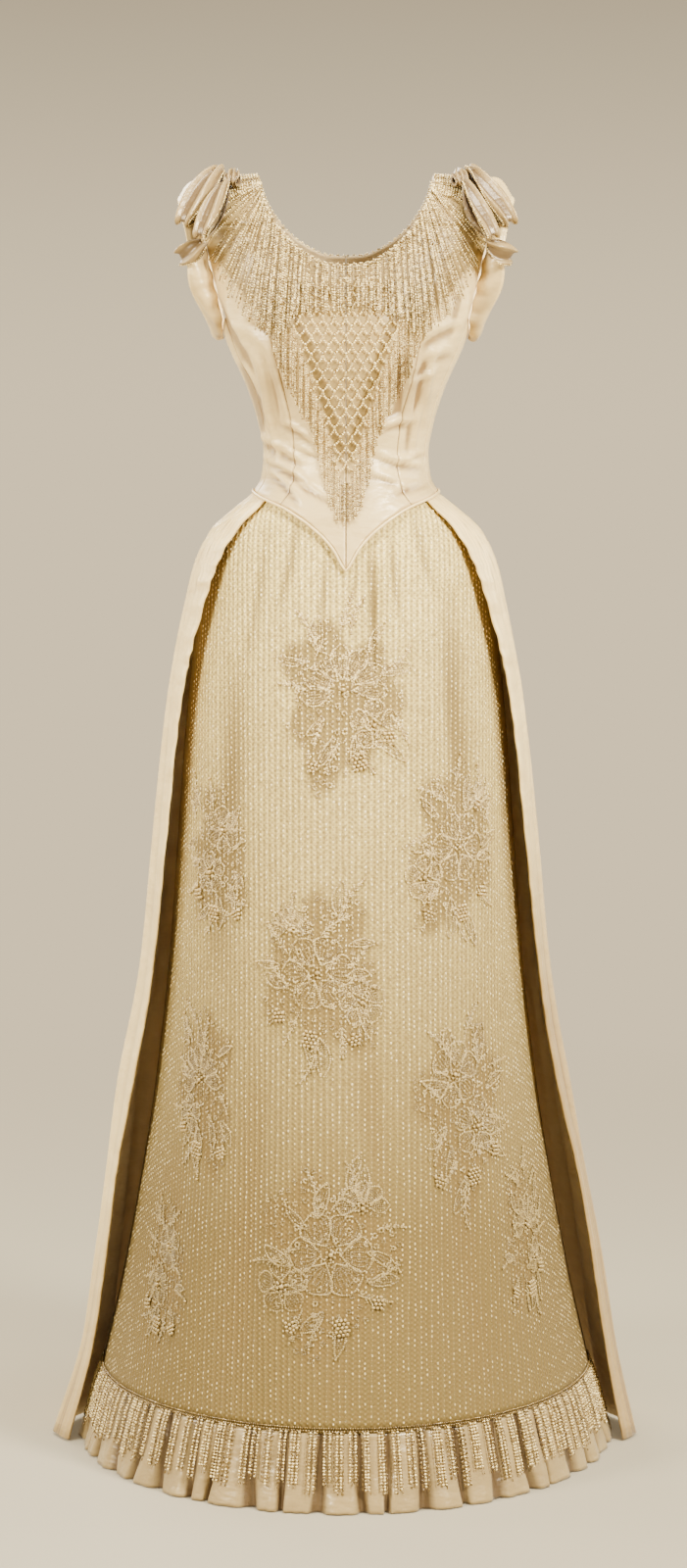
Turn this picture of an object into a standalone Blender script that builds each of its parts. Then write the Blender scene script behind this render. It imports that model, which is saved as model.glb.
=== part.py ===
# Evening dress in cream silk satin with a beaded net front, worn form, hollow, on a general figure.
# Metres, +Z up, front towards -Y, the wearer's left towards +X, origin on the shoulder line.

import math

import bmesh
import bpy
import numpy as np

# Driving sizes
SEAM_GAP = 0.0004
LAYER_GAP = 0.0008
BODICE_WALL = 0.0016
SKIRT_WALL = 0.0015
RUFFLE_WALL = 0.0012
FLOOR = -1.38
NET_HEM = -1.298
HIP_HEIGHTS = [-0.302, -0.312, -0.319, -0.326, -0.335, -0.345, -0.358, -0.378, -0.410]
PANEL_HEIGHTS = [-0.460, -0.530, -0.630, -0.750, -0.880, -1.010, -1.110, -1.200, NET_HEM]
OVER_HEIGHTS = [-0.460, -0.530, -0.630, -0.750, -0.880, -1.010, -1.110, -1.200, -1.300, FLOOR]
WAIST_ROWS = [-0.302, -0.286, -0.268, -0.246]
BASQUE_SHARES = [0.0, 0.4, 0.7, 0.87]

YOKE_SEAM = -0.050
SHOULDER_ROUND = 0.050
STRAP_OUTER = 0.1497
ARMHOLE_TURN = 70.0
ARMHOLE_LOW = -0.146
ARMHOLE_DIP = 0.019
PRINCESS_TURN = 35.0
SIDE_BACK_TURN = 145.0
PANEL_TURN = 124.0
TRAIN_TURN = 140.0
BAND_TURN = 101.0
BACK_FOLD_PITCH = 24.0

# The figure inside the bodice and the front skirt, by height
FIGURE_COLUMNS = ("height", "half_width", "front", "back", "widest", "square")
FIGURE = [
    (0.010, 0.154, -0.056, 0.060, 0.000, 2.3),
    (-0.030, 0.160, -0.074, 0.074, 0.000, 2.3),
    (-0.060, 0.157, -0.089, 0.083, 0.000, 2.3),
    (-0.090, 0.150, -0.101, 0.090, 0.000, 2.3),
    (-0.120, 0.142, -0.111, 0.095, 0.000, 2.3),
    (-0.150, 0.1335, -0.116, 0.097, 0.000, 2.3),
    (-0.180, 0.122, -0.115, 0.094, 0.000, 2.3),
    (-0.220, 0.104, -0.107, 0.087, 0.000, 2.3),
    (-0.260, 0.0915, -0.097, 0.080, 0.000, 2.3),
    (-0.290, 0.0865, -0.091, 0.078, 0.000, 2.3),
    (-0.315, 0.0890, -0.094, 0.082, 0.000, 2.3),
    (-0.330, 0.0970, -0.099, 0.091, 0.000, 2.3),
    (-0.345, 0.1150, -0.103, 0.102, 0.000, 2.25),
    (-0.370, 0.1390, -0.110, 0.118, 0.000, 2.2),
    (-0.410, 0.1540, -0.121, 0.135, 0.002, 2.1),
    (-0.450, 0.1610, -0.129, 0.147, 0.005, 2.0),
    (-0.550, 0.1730, -0.144, 0.165, 0.015, 2.0),
    (-0.700, 0.1850, -0.166, 0.185, 0.035, 2.0),
    (-0.830, 0.1950, -0.186, 0.200, 0.055, 2.0),
    (-0.980, 0.2125, -0.208, 0.220, 0.080, 2.0),
    (-1.070, 0.2265, -0.221, 0.240, 0.092, 2.0),
    (-1.190, 0.2490, -0.238, 0.265, 0.108, 2.0),
    (-1.300, 0.2740, -0.253, 0.290, 0.118, 2.0),
    (-1.385, 0.2920, -0.263, 0.310, 0.122, 2.0),
]

# The overskirt, by height: how far its side, front, back and widest line stand off the front skirt's,
# its front edge's half width in front view, and the depth of its folds
OVER_COLUMNS = ("height", "side", "front", "back", "widest", "edge_x", "fold")
OVER = [
    (-0.300, 0.0000, 0.0000, 0.0000, 0.000, 0.060, 0.000),
    (-0.345, 0.0000, 0.0000, 0.0000, 0.000, 0.091, 0.000),
    (-0.370, 0.0045, 0.0025, 0.0040, 0.000, 0.115, 0.001),
    (-0.410, 0.0100, 0.0040, 0.0090, -0.002, 0.137, 0.002),
    (-0.450, 0.0125, 0.0060, 0.0130, -0.002, 0.150, 0.004),
    (-0.500, 0.0160, 0.0030, 0.0150, -0.002, 0.164, 0.005),
    (-0.550, 0.0190, -0.0040, 0.0170, -0.002, 0.174, 0.006),
    (-0.700, 0.0240, -0.0160, 0.0230, 0.000, 0.191, 0.009),
    (-0.830, 0.0270, -0.0410, 0.0380, 0.000, 0.205, 0.012),
    (-0.980, 0.0330, -0.0880, 0.0660, -0.002, 0.227, 0.015),
    (-1.070, 0.0300, -0.1260, 0.0880, -0.004, 0.243, 0.018),
    (-1.190, 0.0250, -0.1730, 0.1400, -0.010, 0.259, 0.022),
    (-1.300, 0.0180, -0.2330, 0.2180, -0.012, 0.277, 0.026),
    (-1.380, 0.0200, -0.2670, 0.3310, -0.010, 0.294, 0.030),
]

# Neck opening in front view: half width and height, and how high the back neck is beside the front
NECK_COLUMNS = ("half_width", "height")
NECK = [
    (0.0000, -0.0925),
    (0.0200, -0.0905),
    (0.0385, -0.0820),
    (0.0600, -0.0640),
    (0.0785, -0.0385),
    (0.0885, -0.0155),
    (0.0920, 0.0030),
]
BACK_NECK_SHARE = 0.86

# Lower edge of the basque, by the turn from centre front in degrees
BASQUE_COLUMNS = ("turn", "height")
BASQUE = [
    (0.0, -0.4090),
    (4.0, -0.3870),
    (9.0, -0.3720),
    (18.0, -0.3570),
    (33.0, -0.3440),
    (55.0, -0.3360),
    (76.0, -0.3310),
    (90.0, -0.3290),
    (120.0, -0.3320),
    (150.0, -0.3420),
    (180.0, -0.3520),
]

# The V of the stomacher: half width by height, and the lower ends of the bead fringe along it
STOMACHER_COLUMNS = ("height", "half_width")
STOMACHER = [
    (-0.110, 0.0680),
    (-0.140, 0.0580),
    (-0.190, 0.0390),
    (-0.230, 0.0260),
    (-0.268, 0.0150),
    (-0.318, 0.0010),
]
V_FRINGE_COLUMNS = ("half_width", "height")
V_FRINGE_END = [
    (0.0050, -0.3600),
    (0.0110, -0.3560),
    (0.0235, -0.3230),
    (0.0350, -0.2720),
    (0.0490, -0.2400),
    (0.0650, -0.2080),
    (0.0760, -0.1750),
]
YOKE_FRINGE_COLUMNS = ("half_width", "height")
YOKE_FRINGE_END = [
    (0.0000, -0.1380),
    (0.0600, -0.1400),
    (0.0700, -0.1620),
    (0.0850, -0.1560),
    (0.1000, -0.1430),
    (0.1200, -0.1210),
    (0.1380, -0.0980),
]

NET_CELL_WIDTH = 0.0146
NET_CELL_HEIGHT = 0.0256
NET_TOP = -0.117
NET_CORD = 0.0026
NET_WALL = 0.0018

RUFFLE_PLEATS = 29
RUFFLE_TURN = 112.0
RUFFLE_DEPTH = 0.0100
RUFFLE_SPREAD = 0.0060
HEM_FRINGE_TURN = 90.0

PIPING_RADIUS = 0.0014
PIPING_OUT = 0.0024
STRAND = 0.0018
STRAND_DEEP = 0.0011
ROOT_STRIP = 0.0060
NECK_ROOT_HALF = 0.0880
NECK_ROOT_HIGH = -0.030
HEM_STRAND = 0.058

# Along a hanging strand: the share of its length, and of the way out to where it hangs
HANG_COLUMNS = ("share", "lift")
HANG = [
    (0.20, 0.55),
    (0.55, 1.00),
    (1.00, 1.00),
]


def column(table, names, name):
    """One named column of a short table."""
    place = names.index(name)
    return [row[place] for row in table]


def smooth(xs, ys):
    """A smooth curve through points that never overshoots them, as a function."""
    order = np.argsort(xs)
    x = np.array(xs, float)[order]
    y = np.array(ys, float)[order]
    step = np.diff(x)
    rise = np.diff(y) / step
    slope = np.zeros(len(x))
    slope[0] = rise[0]
    slope[-1] = rise[-1]
    for i in range(1, len(x) - 1):
        if rise[i - 1] * rise[i] > 0:
            w1 = 2 * step[i] + step[i - 1]
            w2 = step[i] + 2 * step[i - 1]
            slope[i] = (w1 + w2) / (w1 / rise[i - 1] + w2 / rise[i])

    def value(at):
        at = min(max(at, x[0]), x[-1])
        i = min(int(np.searchsorted(x, at, side="right")) - 1, len(step) - 1)
        t = (at - x[i]) / step[i]
        low = (1 + 2 * t) * (1 - t) ** 2 * y[i] + t * (1 - t) ** 2 * step[i] * slope[i]
        high = t * t * (3 - 2 * t) * y[i + 1] + t * t * (t - 1) * step[i] * slope[i + 1]
        return float(low + high)

    return value


def by(table, names, key, name):
    return smooth(column(table, names, key), column(table, names, name))


figure = {n: by(FIGURE, FIGURE_COLUMNS, "height", n) for n in FIGURE_COLUMNS[1:]}
over = {n: by(OVER, OVER_COLUMNS, "height", n) for n in OVER_COLUMNS[1:]}
neck_height = by(NECK, NECK_COLUMNS, "half_width", "height")
neck_half = by(NECK, NECK_COLUMNS, "height", "half_width")
basque_height = by(BASQUE, BASQUE_COLUMNS, "turn", "height")
stomacher_half = by(STOMACHER, STOMACHER_COLUMNS, "height", "half_width")
stomacher_height = by(STOMACHER, STOMACHER_COLUMNS, "half_width", "height")
v_fringe_end = by(V_FRINGE_END, V_FRINGE_COLUMNS, "half_width", "height")
yoke_fringe_end = by(YOKE_FRINGE_END, YOKE_FRINGE_COLUMNS, "half_width", "height")


def signed_power(value, power):
    return math.copysign(abs(value) ** power, value)


def ridge(x):
    """Height of the shoulder line, falling a little towards the arm."""
    return 0.003 - 0.1 * max(0.0, abs(x) - 0.09)


def oval(turn, half, front, back, widest, square):
    """A point of a rounded section, by the turn from centre front in degrees."""
    power = 2.0 / square
    s = math.sin(math.radians(turn))
    c = math.cos(math.radians(turn))
    depth = (widest - front) if c > 0 else (back - widest)
    return half * signed_power(s, power), widest - depth * signed_power(c, power)


def figure_point(turn, z):
    """The figure's surface: the inside of the bodice and the outside of what is worn under it."""
    x, y = oval(turn, *(figure[n](z) for n in FIGURE_COLUMNS[1:]))
    under = (ridge(x) - z) / SHOULDER_ROUND
    if under < 1.0:
        y *= math.sqrt(max(0.0, 1.0 - (1.0 - under) ** 2))
    return np.array([x, y, z])


def front_point(x, z, side=-1):
    """The figure's surface by its place in front view; side is -1 in front and 1 behind."""
    half = figure["half_width"](z)
    share = min(0.9999, abs(x) / half)
    turn = math.degrees(math.asin(share ** (figure["square"](z) / 2.0)))
    turn = turn if side < 0 else 180.0 - turn
    return figure_point(math.copysign(turn, x), z)


def over_point(turn, z):
    """The overskirt's outer surface, with the fold behind its front band and the folds of the back."""
    side = abs(turn)
    half = figure["half_width"](z) + over["side"](z)
    front = figure["front"](z) - over["front"](z)
    back = figure["back"](z) + over["back"](z)
    centre = figure["widest"](z) + over["widest"](z)
    x, y = oval(side, half, front, back, centre, figure["square"](z))
    fold = over["fold"](z)
    groove = -0.9 * fold * math.exp(-(((side - BAND_TURN) / 7.0) ** 2))
    share = min(1.0, max(0.0, (side - 106.0) / 24.0))
    pleats = fold * share * (0.5 * math.cos(math.radians(180.0 - side) * 360.0 / BACK_FOLD_PITCH) - 0.3)
    reach = math.hypot(x, y - centre)
    grow = 1.0 + (groove + pleats) / reach
    return np.array([math.copysign(x * grow, turn), centre + (y - centre) * grow, z])


def normal_at(point, u, v, du, dv):
    """The outward direction of a surface given as a function of two values."""
    along = point(u + du, v) - point(u - du, v)
    up = point(u, v + dv) - point(u, v - dv)
    n = np.cross(along, up)
    return n / np.linalg.norm(n)


def figure_out(turn, z, out):
    """A point at a distance outside the figure."""
    return figure_point(turn, z) + out * normal_at(figure_point, turn, z, 0.4, 0.0008)


def over_out(turn, z, out):
    return over_point(turn, z) + out * normal_at(over_point, turn, z, 0.4, 0.0008)


def front_out(x, z, out, side=-1):
    """A point at a distance outside the figure, by its place in front view."""

    def surface(across, height):
        return front_point(across, height, side)

    step = 0.0006
    n = normal_at(surface, x, z, step, step)
    return front_point(x, z, side) + out * n * (1 if side < 0 else -1)


def material(name, colour, roughness, sheen=0.0):
    m = bpy.data.materials.new(name)
    m.use_nodes = True
    shader = m.node_tree.nodes["Principled BSDF"]
    shader.inputs["Base Color"].default_value = (*colour, 1.0)
    shader.inputs["Roughness"].default_value = roughness
    shader.inputs["Metallic"].default_value = 0.0
    shader.inputs["Sheen Weight"].default_value = sheen
    return m


SATIN = (0.84, 0.74, 0.56)
RUFFLE_SATIN = (0.80, 0.68, 0.54)
NET = (0.62, 0.49, 0.31)
BEADS = (0.74, 0.68, 0.55)


def add(name, mesh_points, faces, colour, roughness=0.4):
    """One named object with a material of its own."""
    mesh = bpy.data.meshes.new(name)
    mesh.from_pydata([tuple(map(float, p)) for p in mesh_points], [], faces)
    mesh.validate()
    bm = bmesh.new()
    bm.from_mesh(mesh)
    bmesh.ops.triangulate(bm, faces=[f for f in bm.faces if len(f.verts) > 4])
    bmesh.ops.recalc_face_normals(bm, faces=bm.faces)
    if bm.calc_volume(signed=True) < 0:
        bmesh.ops.reverse_faces(bm, faces=bm.faces)
    bm.to_mesh(mesh)
    bm.free()
    mesh.shade_smooth()
    obj = bpy.data.objects.new(name, mesh)
    obj.data.materials.append(material(name, colour, roughness))
    bpy.context.scene.collection.objects.link(obj)
    return obj


def wall(outer, inner, closed=False):
    """Points and faces of a sheet with a thickness, from two grids of rows; closed joins each row to a ring."""
    rows = len(outer)
    count = len(outer[0])
    points = [p for row in outer for p in row] + [p for row in inner for p in row]
    shift = rows * count
    faces = []
    across = count if closed else count - 1

    def at(layer, i, j):
        return layer * shift + i * count + j % count

    for i in range(rows - 1):
        for j in range(across):
            faces.append((at(0, i, j), at(0, i, j + 1), at(0, i + 1, j + 1), at(0, i + 1, j)))
            faces.append((at(1, i, j), at(1, i + 1, j), at(1, i + 1, j + 1), at(1, i, j + 1)))
    for j in range(across):
        faces.append((at(0, 0, j), at(1, 0, j), at(1, 0, j + 1), at(0, 0, j + 1)))
        faces.append((at(0, rows - 1, j), at(0, rows - 1, j + 1), at(1, rows - 1, j + 1), at(1, rows - 1, j)))
    if not closed:
        for i in range(rows - 1):
            faces.append((at(0, i, 0), at(0, i + 1, 0), at(1, i + 1, 0), at(1, i, 0)))
            faces.append((at(0, i, count - 1), at(1, i, count - 1), at(1, i + 1, count - 1), at(0, i + 1, count - 1)))
    return points, faces


def spaced(start, end, count):
    return [start + (end - start) * i / count for i in range(count + 1)]


def turn_gap(turn, z, gap):
    """The turn that moves a point of the figure by a gap along its section."""
    a = figure_point(turn, z)
    b = figure_point(turn + 1.0, z)
    return gap / max(1e-6, float(np.linalg.norm(b - a)))


def bodice_rows(low, top):
    """Heights of a bodice column's points, closest together at the waist."""
    below = [low + (WAIST_ROWS[0] - low) * share for share in BASQUE_SHARES]
    rows = below + WAIST_ROWS + spaced(WAIST_ROWS[-1], min(top, ARMHOLE_LOW), 3)[1:]
    if top > ARMHOLE_LOW + SEAM_GAP:
        rows += spaced(ARMHOLE_LOW, top, 3)[1:]
    return rows


def bodice_panel(name, turns, top_of):
    """A bodice panel between two seams, from the basque's edge to its upper edge."""
    last = len(turns) - 1
    outer = []
    inner = []
    columns = [bodice_rows(basque_low(turn), top_of(turn)) for turn in turns]
    for i in range(len(columns[0])):
        outer_row = []
        inner_row = []
        for j, turn in enumerate(turns):
            z = columns[j][i]
            here = turn
            if j == 0:
                here += turn_gap(turn, z, SEAM_GAP / 2)
            if j == last:
                here -= turn_gap(turn, z, SEAM_GAP / 2)
            outer_row.append(figure_out(here, z, BODICE_WALL))
            inner_row.append(figure_out(here, z, 0.0))
        outer.append(outer_row)
        inner.append(inner_row)
    add(name, *wall(outer, inner), SATIN)


def settle(turn, height_at_x):
    """The height at which a column of the figure meets an edge given by its half width."""
    z = YOKE_SEAM
    for _ in range(30):
        x = abs(figure_point(turn, z)[0])
        z = 0.5 * z + 0.5 * height_at_x(x)
    return z


def front_top(turn):
    return settle(turn, lambda x: min(neck_height(x), YOKE_SEAM)) - SEAM_GAP / 2


def back_top(turn):
    return settle(turn, lambda x: min(neck_height(x) * BACK_NECK_SHARE, YOKE_SEAM)) - SEAM_GAP / 2


def underarm_top(turn):
    share = (abs(turn) - ARMHOLE_TURN) / (180.0 - 2 * ARMHOLE_TURN)
    return ARMHOLE_LOW - ARMHOLE_DIP * math.sin(math.pi * min(1.0, max(0.0, share)))


def yoke_top(turn):
    return YOKE_SEAM - SEAM_GAP / 2


def basque_low(turn):
    return basque_height(abs(turn))


def bodice(side, tag):
    """The five pieces of one half of the bodice."""
    front = [0.0, 2.0, 4.0, 9.0, 18.0, 26.0, PRINCESS_TURN]
    pieces = [
        ("bodice_front", front, front_top),
        ("bodice_side_front", spaced(PRINCESS_TURN, ARMHOLE_TURN, 5), yoke_top),
        ("bodice_underarm", spaced(ARMHOLE_TURN, 180.0 - ARMHOLE_TURN, 5), underarm_top),
        ("bodice_side_back", spaced(180.0 - ARMHOLE_TURN, SIDE_BACK_TURN, 5), yoke_top),
        ("bodice_back", spaced(SIDE_BACK_TURN, 180.0, 5), back_top),
    ]
    for name, turns, top in pieces:
        ordered = turns if side > 0 else [-t for t in reversed(turns)]
        bodice_panel(f"{name}_{tag}", ordered, top)


def strap_point(x, swing):
    """The shoulder piece's surface: swing runs from -90 in front over the shoulder to 90 behind."""
    drop = (ridge(x) - YOKE_SEAM - SEAM_GAP / 2) * (1.0 - math.cos(math.radians(swing)))
    z = ridge(x) - drop
    half = figure["half_width"](z)
    square = figure["square"](z)
    share = (1.0 - (abs(x) / half) ** square) ** (1.0 / square)
    depth = figure["front"](z) if swing < 0 else figure["back"](z)
    rounding = math.sqrt(1.0 - max(0.0, 1.0 - drop / SHOULDER_ROUND) ** 2)
    return np.array([x, depth * share * rounding, z])


def strap_inner(swing):
    """Half width of the neck opening along the shoulder piece."""
    z = ridge(0.08) - (ridge(0.08) - YOKE_SEAM) * (1.0 - math.cos(math.radians(swing)))
    return neck_half(z if swing < 0 else z / BACK_NECK_SHARE)


def strap_normal(x, swing):
    near = max(-88.0, min(88.0, swing))
    return normal_at(strap_point, x, near, 0.0006, 0.5)


def shoulder(side, tag):
    outer = []
    inner = []
    mirror = np.array([side, 1.0, 1.0])
    for swing in spaced(-90.0, 90.0, 10):
        outer_row = []
        inner_row = []
        for x in spaced(strap_inner(swing), STRAP_OUTER, 4):
            p = strap_point(x, swing)
            outer_row.append((p + BODICE_WALL * strap_normal(x, swing)) * mirror)
            inner_row.append(p * mirror)
        outer.append(outer_row)
        inner.append(inner_row)
    add(f"shoulder_{tag}", *wall(outer, inner), SATIN)


def armhole(count, out):
    """Places round the wearer's left armhole, a distance outside its edge, from the shoulder over the front."""
    path = []
    for swing in spaced(0.0, -90.0, 5):
        path.append(strap_point(STRAP_OUTER, swing) + out * strap_normal(STRAP_OUTER - 0.004, swing))
    for z in spaced(YOKE_SEAM, ARMHOLE_LOW, 5)[1:]:
        path.append(figure_out(ARMHOLE_TURN, z, out))
    for turn in spaced(ARMHOLE_TURN, 180.0 - ARMHOLE_TURN, 8)[1:]:
        path.append(figure_out(turn, underarm_top(turn), out))
    for z in spaced(ARMHOLE_LOW, YOKE_SEAM, 5)[1:]:
        path.append(figure_out(180.0 - ARMHOLE_TURN, z, out))
    for swing in spaced(90.0, 0.0, 5)[1:]:
        path.append(strap_point(STRAP_OUTER, swing) + out * strap_normal(STRAP_OUTER - 0.004, swing))
    path = np.array(path)
    run = np.concatenate([[0.0], np.cumsum(np.linalg.norm(np.diff(path, axis=0), axis=1))])
    places = [run[-1] * k / count for k in range(count)]
    return [np.array([np.interp(s, run, path[:, axis]) for axis in range(3)]) for s in places]


SLEEVE_CENTRE = np.array([0.160, 0.0, -0.087])
SLEEVE_HIGH = 0.065
SLEEVE_DEEP = 0.056
SLEEVE_LEAN = 0.017
SLEEVE_PUFF = 0.007
SLEEVE_ROUND = 20


def sleeve_hem(count):
    """The sleeve's lower edge, an oval that leans out at the shoulder."""
    hem = []
    for k in range(count):
        turn = 2.0 * math.pi * k / count
        offset = [SLEEVE_LEAN * math.cos(turn), -SLEEVE_DEEP * math.sin(turn), SLEEVE_HIGH * math.cos(turn)]
        hem.append(SLEEVE_CENTRE + np.array(offset))
    return hem


def sleeve(side, tag):
    """A short cap of satin, from the armhole to its open hem."""
    root = armhole(SLEEVE_ROUND, BODICE_WALL + 2 * LAYER_GAP)
    hem = sleeve_hem(SLEEVE_ROUND)
    middle = np.mean(root, axis=0)
    rows = []
    for share in (0.0, 0.35, 0.7, 1.0):
        row = []
        for a, b in zip(root, hem):
            p = a + (b - a) * share
            away = p - middle
            away[0] = 0.0
            away = away / np.linalg.norm(away)
            row.append(p + away * SLEEVE_PUFF * math.sin(math.pi * share) + np.array([SEAM_GAP, 0.0, 0.0]))
        rows.append(row)
    outer = []
    inner = []
    for i, row in enumerate(rows):
        outer_row = []
        inner_row = []
        for j, p in enumerate(row):
            around = row[(j + 1) % SLEEVE_ROUND] - row[j - 1]
            along = rows[min(i + 1, 3)][j] - rows[max(i - 1, 0)][j]
            n = np.cross(around, along)
            n = n / np.linalg.norm(n)
            n = n if (p - middle) @ n > 0 else -n
            mirror = np.array([side, 1.0, 1.0])
            outer_row.append((p + n * BODICE_WALL) * mirror)
            inner_row.append(p * mirror)
        outer.append(outer_row)
        inner.append(inner_row)
    add(f"sleeve_{tag}", *wall(outer, inner, closed=True), SATIN)


# Ribbon loops of a shoulder bow on the wearer's left, mirrored for the right
BOW_COLUMNS = ("name", "root", "tip", "out", "puff", "width", "twist")
BOW = [
    ("outer_loop", (0.1303, -0.0199, 0.0061), (0.1713, -0.0579, -0.0519), (0.50, -0.62, 0.55), 0.018, 0.026, 0.30),
    ("inner_loop", (0.1246, -0.0442, -0.0083), (0.1526, -0.0822, -0.0658), (0.30, -0.85, 0.40), 0.013, 0.022, 0.20),
    ("lower_loop", (0.1464, -0.0672, -0.0670), (0.1734, -0.0552, -0.0810), (0.30, -0.90, -0.20), 0.013, 0.018, 0.00),
    ("knot", (0.1169, -0.0253, 0.0040), (0.1209, -0.0413, -0.0090), (0.10, -0.60, 0.90), 0.009, 0.016, 0.00),
]
RIBBON = 0.0016
LOOP_STEPS = 12
LOOP_ACROSS = 3


def unit(v):
    v = np.array(v, float)
    return v / np.linalg.norm(v)


def ribbon_loop(name, root, tip, out, puff, width, twist, side):
    """A hollow loop of ribbon: a flattened ring between its root and its tip, open at both sides."""
    root = np.array(root)
    tip = np.array(tip)
    along = unit(tip - root)
    out = np.array(out, float)
    out = unit(out - (out @ along) * along)
    across = np.cross(along, out)
    length = float(np.linalg.norm(tip - root))
    outer = []
    inner = []
    for w in spaced(-width / 2, width / 2, LOOP_ACROSS):
        outer_row = []
        inner_row = []
        for s in range(LOOP_STEPS):
            t = 2.0 * math.pi * s / LOOP_STEPS
            run = 0.5 * (1.0 - math.cos(t))
            narrow = 0.45 + 0.55 * math.sin(math.pi * min(1.0, 0.15 + 0.85 * run)) ** 0.8
            cup = puff * 0.22 * (1.0 - (2.0 * w / width) ** 2)
            centre = root + along * length * run + out * (puff * 0.5 * (1.0 + math.sin(t)))
            centre = centre + across * (w * narrow + twist * puff * math.sin(math.pi * run))
            n = unit(-along * math.cos(t) * puff * 0.5 + out * math.sin(t) * length * 0.5)
            lift = cup * math.sin(t)
            outer_row.append((centre + out * lift + n * RIBBON / 2) * np.array([side, 1.0, 1.0]))
            inner_row.append((centre + out * lift - n * RIBBON / 2) * np.array([side, 1.0, 1.0]))
        outer.append(outer_row)
        inner.append(inner_row)
    add(name, *wall(outer, inner, closed=True), SATIN, 0.35)


def bow(side, tag):
    for name, *sizes in BOW:
        ribbon_loop(f"bow_{name}_{tag}", *sizes, side)


def stomacher_net():
    """Looped bead netting in front, a lattice of diamonds cut through, over the satin."""
    half_w = NET_CELL_WIDTH / 2
    half_h = NET_CELL_HEIGHT / 2
    top = NET_TOP
    cells = set()
    for row in range(1, 40):
        z = top - row * half_h
        for col in range(-20, 21):
            inside = abs(col * half_w) <= stomacher_half(z) - 0.3 * half_w
            if (row + col) % 2 == 1 and inside and z > STOMACHER[-1][0] + half_h:
                cells.add((col, row))
    cells = without_pinches(cells)
    low = BODICE_WALL + LAYER_GAP
    index = {}
    points = []

    def point(col, row, layer):
        key = (round(col, 4), round(row, 4), layer)
        if key not in index:
            index[key] = len(points)
            x = col * half_w
            z = top - row * half_h
            points.append(front_out(x, z, low + NET_WALL * layer))
        return index[key]

    shrink = 1.0 - NET_CORD * math.hypot(1.0 / half_w, 1.0 / half_h) / 2
    faces = []
    corners = [(1, 0), (0, 1), (-1, 0), (0, -1)]
    edge_use = {}
    for col, row in cells:
        ring = [(col + a, row + b) for a, b in corners]
        hole = [(col + a * shrink, row + b * shrink) for a, b in corners]
        for k in range(4):
            m = (k + 1) % 4
            for layer in (0, 1):
                faces.append(
                    (point(*ring[k], layer), point(*ring[m], layer), point(*hole[m], layer), point(*hole[k], layer))
                )
            faces.append((point(*hole[k], 0), point(*hole[m], 0), point(*hole[m], 1), point(*hole[k], 1)))
            edge = frozenset([ring[k], ring[m]])
            edge_use.setdefault(edge, []).append((ring[k], ring[m]))
    for uses in edge_use.values():
        if len(uses) == 1:
            a, b = uses[0]
            faces.append((point(*a, 0), point(*b, 0), point(*b, 1), point(*a, 1)))
    add("stomacher_net", points, faces, NET, 0.35)


def without_pinches(cells):
    """The cells without those that would meet the rest at a single corner."""
    kept = set(cells)
    changed = True
    while changed:
        changed = False
        nodes = {(c + a, r + b) for c, r in kept for a, b in ((1, 0), (0, 1), (-1, 0), (0, -1))}
        for c, r in sorted(nodes):
            left, right, above, below = (c - 1, r), (c + 1, r), (c, r - 1), (c, r + 1)
            have = [n in kept for n in (left, right, above, below)]
            if have == [True, True, False, False]:
                kept.discard(left)
                kept.discard(right)
                changed = True
            if have == [False, False, True, True]:
                kept.discard(below)
                changed = True
    return kept


def fringe(name, roots, ends, outward, colour=BEADS):
    """Bead strands hanging from a narrow strip: roots and ends are pairs of places, one for each strand side."""
    # Each strand takes two neighbouring places of the strip; the places between two strands are left open below
    top = [[r + outward[i][0], r + outward[i][1]] for i, r in enumerate(roots)]
    points = []
    for i, pair in enumerate(top):
        lift = np.array([0.0, 0.0, ROOT_STRIP])
        points += [pair[0] + lift, pair[1] + lift, pair[1], pair[0]]
    faces = []
    last = len(roots) - 1
    for i in range(last):
        a = 4 * i
        b = 4 * (i + 1)
        faces.append((a, a + 1, b + 1, b))
        faces.append((a + 1, a + 2, b + 2, b + 1))
        faces.append((a + 3, a, b, b + 3))
        if i % 2 == 1:
            faces.append((a + 2, a + 3, b + 3, b + 2))
    faces.append((0, 3, 2, 1))
    faces.append((4 * last, 4 * last + 1, 4 * last + 2, 4 * last + 3))
    for i in range(0, last, 2):
        ring = [4 * i + 2, 4 * (i + 1) + 2, 4 * (i + 1) + 3, 4 * i + 3]
        for step in ends[i // 2]:
            start = len(points)
            points += list(step)
            new = [start, start + 1, start + 2, start + 3]
            for k in range(4):
                m = (k + 1) % 4
                faces.append((ring[k], ring[m], new[m], new[k]))
            ring = new
        faces.append(tuple(ring))
    add(name, points, faces, colour, 0.3)


def hung_strands(name, tops, lows, surface, strip_out, hang_out):
    """A fringe on the figure: a strip strip_out away from it, its strands going out to hang_out."""
    roots = []
    outward = []
    ends = []
    for (xt, zt), (xl, zl) in zip(tops, lows):
        for k in (-1, 1):
            x = xt + k * STRAND / 2
            base = surface(x, zt, 0.0)
            n = unit(surface(x, zt, 0.001) - base)
            roots.append(base)
            outward.append((n * (strip_out + STRAND_DEEP), n * strip_out))
        rings = []
        for share, lift in HANG:
            z = zt + (zl - zt) * share
            away = strip_out + (hang_out - strip_out) * lift
            left = xt + (xl - xt) * share - STRAND / 2
            right = left + STRAND
            rings.append(
                [
                    surface(left, z, away),
                    surface(right, z, away),
                    surface(right, z, away + STRAND_DEEP),
                    surface(left, z, away + STRAND_DEEP),
                ]
            )
        ends.append(rings)
    fringe(name, roots, ends, outward)


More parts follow.
